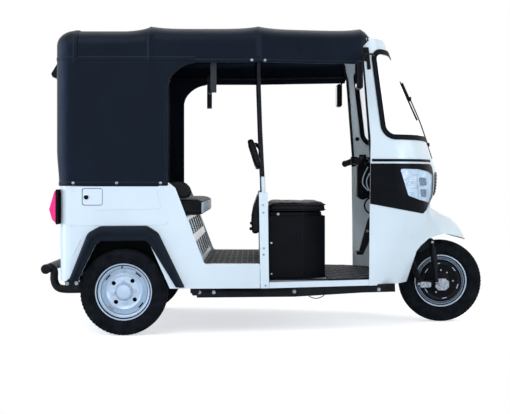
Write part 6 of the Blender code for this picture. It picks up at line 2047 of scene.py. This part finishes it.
def build_bench_front():
    foot, crest, low = (-0.386, 0.4183), (-0.478, 0.697), 0.685
    shape = bmesh.new()
    outline = [foot, crest, (-1.02, crest[1]), (-1.02, low), (-0.489, low), (foot[0] - 0.013, foot[1])]
    groups = ((0.588, 0.672), (0.447, 0.545))
    places, half = (-0.465, -0.279, -0.093, 0.093, 0.279, 0.465), 0.042
    slab(shape, outline, -0.602, 0.602, "XZ")
    obj = piece("bench_front", shape, "enamel", None, 30)

    def slots(tool):
        for z0, z1 in groups:
            for y in places:
                brick(tool, (-0.54, y - half, z0), (-0.36, y + half, z1))

    cut_with(obj, slots, "enamel", 30)
    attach(obj, CHASSIS)
    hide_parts("seat_base")
    rims = bmesh.new()
    for z0, z1 in groups:
        for y in places:
            loop = []
            for b, z in ((-half, z0), (half, z0), (half, z1), (-half, z1)):
                t = (z - foot[1]) / (crest[1] - foot[1])
                loop.append(Vector((foot[0] + (crest[0] - foot[0]) * t + 1 * MM, y + b, z)))
            strand(rims, loop, circle(2 * MM, 6), closed=True)
    piece("bench_louvre_rims", rims, "enamel", CHASSIS)
    # Black slabs behind the louvres: painted shade inside the bench.
    back = bmesh.new()
    for z0, z1 in ((0.575, 0.680), (0.436, 0.556)):
        t0, t1 = ((z - foot[1]) / (crest[1] - foot[1]) for z in (z0, z1))
        a, b = foot[0] + (crest[0] - foot[0]) * t0, foot[0] + (crest[0] - foot[0]) * t1
        slab(back, [Vector((a - 0.020, z0)), Vector((b - 0.020, z1)), Vector((b - 0.024, z1)),
                    Vector((a - 0.024, z0))], -0.56, 0.56, "XZ")
    piece("bench_louvre_backs", back, "seal", CHASSIS)


def build_floor_ribs():
    ribs = bmesh.new()
    rear_level, front_level = 0.4179, 0.3199
    for x in np.linspace(-0.372, -0.018, 11):
        strand(ribs, [(x, -0.550, rear_level), (x, 0.550, rear_level)], strip(5 * MM, 2 * MM), UP)
    for y in np.linspace(-0.47, 0.47, 6):
        strand(ribs, [(-0.380, y, rear_level - 0.1 * MM), (-0.010, y, rear_level - 0.1 * MM)],
               strip(20 * MM, 1.9 * MM), UP)
    for k in range(-14, 15):
        for turn in (-1, 1):
            ends = []
            for s in np.linspace(-0.5, 0.5, 60):
                x, y = 0.52 + s * 0.70, 0.15 * k + turn * s * 0.70
                half = 0.485 - max(0, x - 0.36) * 0.24 if x < 0.585 else 0.425 - (x - 0.585) * 0.66
                if 0.358 < x < 0.684 and abs(y) < half:
                    ends.append((x, y, front_level))
            if len(ends) > 2:
                strand(ribs, [ends[0], ends[-1]], strip(12 * MM, 2 * MM), UP)
    piece("floor_ribs", ribs, "rib", CHASSIS)


def build_seat_box_trim():
    base = bmesh.new()
    plan = rounded([(0.006, -0.428, 0.03), (0.205, -0.428, 0.03), (0.325, -0.330, 0.03),
                    (0.325, 0.330, 0.03), (0.205, 0.428, 0.03), (0.006, 0.428, 0.03)], 5)
    slab(base, plan, 0.6906, 0.713, "XY", 2 * MM)
    piece("seat_base_board", base, "plastic", DRIVER_SEAT)
    lock = bmesh.new()
    turned(lock, [(0, 0.004), (0.009, 0.004), (0.009, -0.003), (0.007, -0.005), (0, -0.005)],
           (0.058, -0.4285, 0.7018), "Y", 20)
    piece("seat_lock", lock, "zinc", DRIVER_SEAT)
    points, facing = [], []
    for side in (-1, 1):
        for x, z in ((0.0185, 0.529), (0.0185, 0.344)):
            points.append((x, side * 0.4302, z))
            facing.append((0, side, 0))
    fittings("seat_box_screws", pattern(dome, 6 * MM, 3 * MM), points, facing, UP, "lamp white", CHASSIS)
    skirt = bmesh.new()
    for side in (-1, 1):
        inner, outer = sorted((side * 0.4308, side * 0.481))
        slab(skirt, [(0.004, inner), (0.350, inner), (0.350, outer), (0.004, outer)], 0.3124, 0.3165,
             "XY", 1 * MM)
    piece("seat_box_mats", skirt, "floor", CHASSIS)
    corner = bmesh.new()
    plan = [(0.001, 0.4295), (0.190, 0.4302), (0.203, 0.4275), (0.2125, 0.421), (0.338, 0.3305),
            (0.3405, 0.318)]
    for side in (-1, 1):
        outer = smooth([(x, side * y, 0) for x, y in plan], 40)
        inner = [p - Vector((0.6 * MM, side * 1.2 * MM, 0)) for p in outer]
        slab(corner, [Vector((p.x, p.y)) for p in outer + list(reversed(inner))], 0.3125, 0.6895, "XY")
    piece("seat_box_skins", corner, "plastic", CHASSIS)


STRAPS = ((-1, -0.322), (1, -0.400))


def build_straps():
    straps = bmesh.new()
    for side, x in STRAPS:
        path = smooth([(x, side * 0.5990, 1.6435), (x, side * 0.5855, 1.640), (x, side * 0.583, 1.600),
                       (x, side * 0.584, 1.500), (x, side * 0.580, 1.430), (x, side * 0.572, 1.4155),
                       (x, side * 0.564, 1.430), (x, side * 0.566, 1.500), (x, side * 0.572, 1.600),
                       (x, side * 0.5815, 1.645), (x, side * 0.5990, 1.649)], 40)
        section = flat_bar(17 * MM, 1.3 * MM)
        ups = []
        for i in range(len(path)):
            along = path[min(i + 1, len(path) - 1)] - path[max(i - 1, 0)]
            ups.append(Vector((1, 0, 0)).cross(along).normalized())
        strand(straps, path, section, ups)
    piece("grab_straps", straps, "webbing", CHASSIS)
    rivets = [(x, side * 0.5625, 1.520) for side, x in STRAPS]
    inward = [(0, -side, 0) for side, _ in STRAPS]
    fittings("grab_strap_rivets", pattern(dome, 7 * MM, 3 * MM), rivets, inward, UP, "zinc", CHASSIS)


def build_handlebar():
    """The bar with its shroud, and the cables that loop behind it."""
    bars = bmesh.new()
    line = smooth([(0.548, -0.365, 1.022), (0.585, -0.235, 1.036), (0.622, -0.10, 1.040),
                   (0.630, 0.0, 1.040), (0.622, 0.10, 1.040), (0.585, 0.235, 1.036),
                   (0.548, 0.365, 1.022)], 40)
    strand(bars, line, circle(12.5 * MM, 14))
    shroud = rounded([(0.574, 0.985, 0.02), (0.594, 1.050, 0.02), (0.665, 1.050, 0.02),
                      (0.706, 0.900, 0.02), (0.690, 0.812, 0.02), (0.610, 0.778, 0.02),
                      (0.574, 0.798, 0.02)], 5)
    slab(bars, shroud, -0.062, 0.062, "XZ", 8 * MM)
    obj = piece("handlebar_set", bars, "plastic", STEERING)
    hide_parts("handlebar")
    loops = bmesh.new()
    for path in (((0.640, -0.076, 0.99), (0.610, -0.092, 0.93), (0.606, -0.094, 0.88),
                  (0.640, -0.080, 0.84)), ((0.650, -0.076, 0.95), (0.630, -0.088, 0.90),
                                           (0.642, -0.086, 0.85), (0.665, -0.076, 0.83))):
        strand(loops, smooth(path, 20), circle(3.4 * MM, 8))
    piece("control_cables", loops, "pale vinyl and painted highlight", STEERING)


def build_pedal_ring():
    ring = bmesh.new()
    turned(ring, [(0.046, -0.005), (0.056, -0.005), (0.056, 0.005), (0.046, 0.005)],
           (0.664, -0.120, 0.745), "Y", 30)
    piece("pedal_ring", ring, "seal", CHASSIS)


def build_grips():
    """Ribbed rubber grips with flanges."""
    grips = bmesh.new()
    for side in (-1, 1):
        inner, outer = Vector((0.574, side * 0.276, 1.032)), Vector((0.541, side * 0.378, 1.020))
        strand(grips, [inner.lerp(outer, 0.04), outer + (outer - inner) * 0.02], circle(18.6 * MM, 24))
        for k in range(12):
            t = 0.10 + 0.07 * k
            strand(grips, [inner.lerp(outer, t), inner.lerp(outer, t + 0.03)], circle(20 * MM, 24))
        strand(grips, [outer + (outer - inner) * 0.015, outer + (outer - inner) * 0.06],
               circle(22 * MM, 24))
        strand(grips, [inner.lerp(outer, -0.02), inner.lerp(outer, 0.03)], circle(23 * MM, 24))
    piece("grip_rubbers", grips, "seal", STEERING)


def build_switch_pods():
    """Switch pods with their levers, and the instrument pane between them."""
    pods = bmesh.new()
    for side in (-1, 1):
        at_pod = Vector((0.586, side * 0.238, 1.038))
        brick(pods, at_pod - Vector((0.022, 0.020, 0.022)), at_pod + Vector((0.022, 0.020, 0.026)), 5 * MM)
        brick(pods, at_pod + Vector((-0.027, -0.008, -0.004)), at_pod + Vector((-0.020, 0.008, 0.010)),
              2 * MM)
        lever = smooth([(0.608, side * 0.215, 1.034), (0.628, side * 0.262, 1.020),
                        (0.614, side * 0.320, 1.010), (0.590, side * 0.368, 1.006)], 18)
        strand(pods, lever, flat_bar(3 * MM, 7 * MM), UP)
        turned(pods, [(0, -0.008), (0.007, -0.004), (0.008, 0.0), (0.007, 0.004), (0, 0.008)], lever[-1],
               "Y", 14)
    piece("switch_pods", pods, "plastic", STEERING)
    dial = bmesh.new()
    slab(dial, box_outline(0.604, -0.055, 0.660, 0.055, 0.02, 6),
         1.0490, 1.0550, "XY", 1.2 * MM)
    piece("instrument_pane", dial, "cell", STEERING)


def build_pedal():
    """The brake pedal's arm, ribbed plate and bolts."""
    pedal = bmesh.new()
    arm = rounded([(0.700, 0.725, 0.01), (0.668, 0.712, 0.02), (0.640, 0.655, 0.03), (0.596, 0.520, 0.02),
                   (0.574, 0.450, 0.012), (0.600, 0.436, 0.012), (0.632, 0.500, 0.02), (0.676, 0.640, 0.03),
                   (0.700, 0.672, 0.01)], 4)
    slab(pedal, arm, -0.1450, -0.1385, "XZ", 1 * MM)
    brick(pedal, (0.556, -0.170, 0.4522), (0.607, -0.090, 0.4585), 2 * MM)
    for k in range(5):
        brick(pedal, (0.560 + 0.0095 * k, -0.166, 0.4580), (0.564 + 0.0095 * k, -0.094, 0.4605), 0.8 * MM)
    piece("pedal_arm", pedal, "powder", CHASSIS)
    fittings("pedal_bolts", pattern(hexagon, 6 * MM, 5 * MM),
             [Vector((x, -0.1452, z)) for x, z in ((0.648, 0.640), (0.628, 0.585), (0.676, 0.690))],
             Vector((0, -1, 0)), UP, "zinc", CHASSIS)


def build_pillar_plugs():
    plugs = bmesh.new()
    for side in (-1, 1):
        profile = [(0, 0.0), (0.014, 0.0), (0.014, -0.003), (0.010, -0.006), (0, -0.006)]
        turned(plugs, [(r, side * a) for r, a in profile], (0.639, side * 0.5035, 1.196), "Y", 24)
    piece("pillar_plugs", plugs, "seal", CHASSIS)


def build_controls():
    build_handlebar()
    build_pedal_ring()
    build_grips()
    build_switch_pods()
    build_pedal()
    build_pillar_plugs()


def build_mirrors():
    glass = bmesh.new()
    rims = bmesh.new()
    for side in (-1, 1):
        low, high = sorted((side * 0.574, side * 0.656))
        outline = box_outline(low, 1.439, high, 1.581, 0.012)
        slab(glass, outline, 0.5032, 0.5049, "YZ", 0.4 * MM)
        loop = [Vector((0.5042, p.x, p.y)) for p in outline]
        strand(rims, loop, circle(2.2 * MM, 8), closed=True)
    piece("mirror_panes", glass, "mirror", CHASSIS)
    piece("mirror_rims", rims, "plastic", CHASSIS)


COLOUR = {"subtype": "COLOR", "size": 4, "min": 0, "max": 1}


class TricycleColours(bpy.types.PropertyGroup):
    """The colours that a user would change."""

    enamel: bpy.props.FloatVectorProperty(
        name="Enamel", description="Pressed body panels", default=linear("#D7E3E6"), **COLOUR)
    canvas: bpy.props.FloatVectorProperty(name="Canvas",
                                          description="Vinyl-coated canvas of the soft top",
                                          default=linear("#0A0D13"), **COLOUR)
    seat_vinyl: bpy.props.FloatVectorProperty(name="Seat vinyl",
                                              description="Covers of the seats and arm pads",
                                              default=linear("#08090C"), **COLOUR)
    black_plastic: bpy.props.FloatVectorProperty(
        name="Black plastic", description="Front band, seat box, dashboard and controls",
        default=linear("#05070B"), **COLOUR)
    powder_coat: bpy.props.FloatVectorProperty(name="Powder coat",
                                               description="Chassis, roof tubes, bumper and brackets",
                                               default=linear("#0A0C0F"), **COLOUR)
    rubber: bpy.props.FloatVectorProperty(
        name="Tyre rubber", description="Tyres", default=linear("#090B0E"), **COLOUR)
    wheel_silver: bpy.props.FloatVectorProperty(
        name="Wheel silver", description="Pressed wheels", default=linear("#C3D5E4"), **COLOUR)
    tail_lamp: bpy.props.FloatVectorProperty(
        name="Tail lamp", description="Acrylic of the tail lamps", default=linear("#F50078"), **COLOUR)


class TricycleSizes(bpy.types.PropertyGroup):
    """The sizes that a user would change, and the stage's lighting."""

    rear_tyre_radius: bpy.props.FloatProperty(
        name="Rear tyre radius", description="Outer radius of the rear tyres", default=0.254, unit="LENGTH")
    rear_tyre_width: bpy.props.FloatProperty(
        name="Rear tyre width", description="Width of the rear tyres", default=0.145, unit="LENGTH")
    front_tyre_radius: bpy.props.FloatProperty(name="Front tyre radius",
                                               description="Outer radius of the front tyre",
                                               default=0.262, unit="LENGTH")
    front_tyre_width: bpy.props.FloatProperty(
        name="Front tyre width", description="Width of the front tyre", default=0.100, unit="LENGTH")
    seal_width: bpy.props.FloatProperty(
        name="Windscreen seal width", description="Width of the rubber round the windscreen", default=0.031,
        unit="LENGTH")
    post_radius: bpy.props.FloatProperty(
        name="Door post radius", description="Radius of the tubes behind the driver", default=0.0102,
        unit="LENGTH")
    canvas_thickness: bpy.props.FloatProperty(name="Canvas thickness",
                                              description="Thickness of the soft top's sheet",
                                              default=0.0025, unit="LENGTH")
    stitch_pitch: bpy.props.FloatProperty(
        name="Stitch pitch", description="Distance between stitches, twice life size so that they show",
        default=0.009, unit="LENGTH")
    seat_pressure: bpy.props.FloatProperty(
        name="Seat pressure", description="Pressure that swells the seat covers", default=4.0, min=0.0)
    studio_light: bpy.props.FloatProperty(
        name="Studio light", description="Brightness of the lamps against their plain level", default=1.0,
        min=0.0, subtype="FACTOR")
    sky_light: bpy.props.FloatProperty(
        name="Sky light", description="Strength of the plain light from all sides", default=0.53, min=0.0)


class TRICYCLE_OT_finishes(bpy.types.Operator):
    """Makes the materials and paints the frame"""

    bl_idname = "tricycle.finishes"
    bl_label = "Finishes"

    def execute(self, context):
        make_finishes(context.scene.tricycle_colours)
        return {"FINISHED"}


class TRICYCLE_OT_soft_top(bpy.types.Operator):
    """Sews the roof and its sides, with seams, stitches, window border and snaps"""

    bl_idname = "tricycle.soft_top"
    bl_label = "Soft top"

    def execute(self, context):
        build_soft_top(context.scene.tricycle_sizes)
        return {"FINISHED"}


class TRICYCLE_OT_roof_tubes(bpy.types.Operator):
    """Bends the bows, rails and posts that carry the soft top"""

    bl_idname = "tricycle.roof_tubes"
    bl_label = "Roof tubes"

    def execute(self, context):
        build_roof_tubes(context.scene.tricycle_sizes)
        return {"FINISHED"}


class TRICYCLE_OT_driver_seat(bpy.types.Operator):
    """Swells the driver's cushion, back and head pads, with their frame"""

    bl_idname = "tricycle.driver_seat"
    bl_label = "Driver's seat"

    def execute(self, context):
        build_driver_seat(context.scene.tricycle_sizes)
        return {"FINISHED"}


class TRICYCLE_OT_rear_seat(bpy.types.Operator):
    """Swells the rear cushion, back and arm pads"""

    bl_idname = "tricycle.rear_seat"
    bl_label = "Rear seat"

    def execute(self, context):
        build_rear_seat(context.scene.tricycle_sizes)
        return {"FINISHED"}


class TRICYCLE_OT_bench_front(bpy.types.Operator):
    """Cuts the louvred panel under the rear seat"""

    bl_idname = "tricycle.bench_front"
    bl_label = "Bench front"

    def execute(self, context):
        build_bench_front()
        return {"FINISHED"}


class TRICYCLE_OT_wheels(bpy.types.Operator):
    """Turns the tyres and pressed rims, with their nuts, caps and valves"""

    bl_idname = "tricycle.wheels"
    bl_label = "Wheels"

    def execute(self, context):
        build_wheels(context.scene.tricycle_sizes)
        return {"FINISHED"}


class TRICYCLE_OT_front_suspension(bpy.types.Operator):
    """Adds the shocks, brake plate, links and cable of the front fork"""

    bl_idname = "tricycle.front_suspension"
    bl_label = "Front suspension"

    def execute(self, context):
        build_front_suspension()
        return {"FINISHED"}


class TRICYCLE_OT_front_body(bpy.types.Operator):
    """Shapes the front shell, its black band, the windscreen and its seal"""

    bl_idname = "tricycle.front_body"
    bl_label = "Front body"

    def execute(self, context):
        build_front_body(context.scene.tricycle_sizes)
        return {"FINISHED"}


class TRICYCLE_OT_front_edges(bpy.types.Operator):
    """Adds the header corners, pillar brackets and dashboard"""

    bl_idname = "tricycle.front_edges"
    bl_label = "Front edges"

    def execute(self, context):
        build_front_edges()
        return {"FINISHED"}


class TRICYCLE_OT_headlamps(bpy.types.Operator):
    """Fills the headlamps with bowls, cells, surrounds and lenses"""

    bl_idname = "tricycle.headlamps"
    bl_label = "Headlamps"

    def execute(self, context):
        build_headlamps()
        return {"FINISHED"}


class TRICYCLE_OT_front_trim(bpy.types.Operator):
    """Adds the stripe, grille, mudguard lip and wiper"""

    bl_idname = "tricycle.front_trim"
    bl_label = "Front trim"

    def execute(self, context):
        build_front_trim()
        return {"FINISHED"}


class TRICYCLE_OT_wheel_flares(bpy.types.Operator):
    """Sweeps the flares over the rear wheels"""

    bl_idname = "tricycle.wheel_flares"
    bl_label = "Wheel flares"

    def execute(self, context):
        build_wheel_flares()
        return {"FINISHED"}


class TRICYCLE_OT_body_details(bpy.types.Operator):
    """Adds creases, gaskets, locks, latches, hinges, brackets, caps and bolts"""

    bl_idname = "tricycle.body_details"
    bl_label = "Body details"

    def execute(self, context):
        build_body_details()
        return {"FINISHED"}


class TRICYCLE_OT_rear_bumper(bpy.types.Operator):
    """Bends the rear bumper's tubes and bolts on their plates"""

    bl_idname = "tricycle.rear_bumper"
    bl_label = "Rear bumper"

    def execute(self, context):
        build_rear_bumper()
        return {"FINISHED"}


class TRICYCLE_OT_engine_fins(bpy.types.Operator):
    """Adds the engine's fins and cover bolts"""

    bl_idname = "tricycle.engine_fins"
    bl_label = "Engine fins"

    def execute(self, context):
        build_engine_fins()
        return {"FINISHED"}


class TRICYCLE_OT_floor_ribs(bpy.types.Operator):
    """Lays the ribs of the floor mats"""

    bl_idname = "tricycle.floor_ribs"
    bl_label = "Floor ribs"

    def execute(self, context):
        build_floor_ribs()
        return {"FINISHED"}


class TRICYCLE_OT_seat_box_trim(bpy.types.Operator):
    """Adds the seat box's skins, lock, screws and mats"""

    bl_idname = "tricycle.seat_box_trim"
    bl_label = "Seat box trim"

    def execute(self, context):
        build_seat_box_trim()
        return {"FINISHED"}


class TRICYCLE_OT_straps(bpy.types.Operator):
    """Hangs the flat grab straps from the roof rails"""

    bl_idname = "tricycle.straps"
    bl_label = "Grab straps"

    def execute(self, context):
        build_straps()
        return {"FINISHED"}


class TRICYCLE_OT_controls(bpy.types.Operator):
    """Builds the handlebar, its levers, cables and pods, and the pedal"""

    bl_idname = "tricycle.controls"
    bl_label = "Controls"

    def execute(self, context):
        build_controls()
        return {"FINISHED"}


class TRICYCLE_OT_mirrors(bpy.types.Operator):
    """Sets glass and rims on the mirrors"""

    bl_idname = "tricycle.mirrors"
    bl_label = "Mirrors"

    def execute(self, context):
        build_mirrors()
        return {"FINISHED"}


class TRICYCLE_OT_stage(bpy.types.Operator):
    """Sets the camera, lamps, white world and floor"""

    bl_idname = "tricycle.stage"
    bl_label = "Stage"

    def execute(self, context):
        build_stage(context.scene.tricycle_sizes)
        return {"FINISHED"}


OPERATORS = (
    TRICYCLE_OT_finishes,
    TRICYCLE_OT_soft_top,
    TRICYCLE_OT_roof_tubes,
    TRICYCLE_OT_driver_seat,
    TRICYCLE_OT_rear_seat,
    TRICYCLE_OT_bench_front,
    TRICYCLE_OT_wheels,
    TRICYCLE_OT_front_suspension,
    TRICYCLE_OT_front_body,
    TRICYCLE_OT_front_edges,
    TRICYCLE_OT_headlamps,
    TRICYCLE_OT_front_trim,
    TRICYCLE_OT_wheel_flares,
    TRICYCLE_OT_body_details,
    TRICYCLE_OT_rear_bumper,
    TRICYCLE_OT_engine_fins,
    TRICYCLE_OT_floor_ribs,
    TRICYCLE_OT_seat_box_trim,
    TRICYCLE_OT_straps,
    TRICYCLE_OT_controls,
    TRICYCLE_OT_mirrors,
    TRICYCLE_OT_stage,
)


class TRICYCLE_PT_panel(bpy.types.Panel):
    """Lists the tricycle's operators, sizes and colours"""

    bl_idname = "TRICYCLE_PT_panel"
    bl_label = "Passenger tricycle"
    bl_space_type = "VIEW_3D"
    bl_region_type = "UI"
    bl_category = "Tricycle"

    def draw(self, context):
        for kind in OPERATORS:
            self.layout.operator(kind.bl_idname)
        for group in (context.scene.tricycle_sizes, context.scene.tricycle_colours):
            for name in type(group).__annotations__:
                self.layout.prop(group, name)


CLASSES = (TricycleColours, TricycleSizes) + OPERATORS + (TRICYCLE_PT_panel,)


def register():
    for kind in CLASSES:
        bpy.utils.register_class(kind)
    bpy.types.Scene.tricycle_colours = bpy.props.PointerProperty(type=TricycleColours)
    bpy.types.Scene.tricycle_sizes = bpy.props.PointerProperty(type=TricycleSizes)


def unregister():
    del bpy.types.Scene.tricycle_sizes
    del bpy.types.Scene.tricycle_colours
    for kind in reversed(CLASSES):
        bpy.utils.unregister_class(kind)


def main():
    register()
    bpy.ops.tricycle.finishes()
    bpy.ops.tricycle.soft_top()
    bpy.ops.tricycle.roof_tubes()
    bpy.ops.tricycle.driver_seat()
    bpy.ops.tricycle.rear_seat()
    bpy.ops.tricycle.bench_front()
    bpy.ops.tricycle.wheels()
    bpy.ops.tricycle.front_suspension()
    bpy.ops.tricycle.front_body()
    bpy.ops.tricycle.front_edges()
    bpy.ops.tricycle.headlamps()
    bpy.ops.tricycle.front_trim()
    bpy.ops.tricycle.wheel_flares()
    bpy.ops.tricycle.body_details()
    bpy.ops.tricycle.rear_bumper()
    bpy.ops.tricycle.engine_fins()
    bpy.ops.tricycle.floor_ribs()
    bpy.ops.tricycle.seat_box_trim()
    bpy.ops.tricycle.straps()
    bpy.ops.tricycle.controls()
    bpy.ops.tricycle.mirrors()
    bpy.ops.tricycle.stage()


if __name__ == "__main__":
    main()
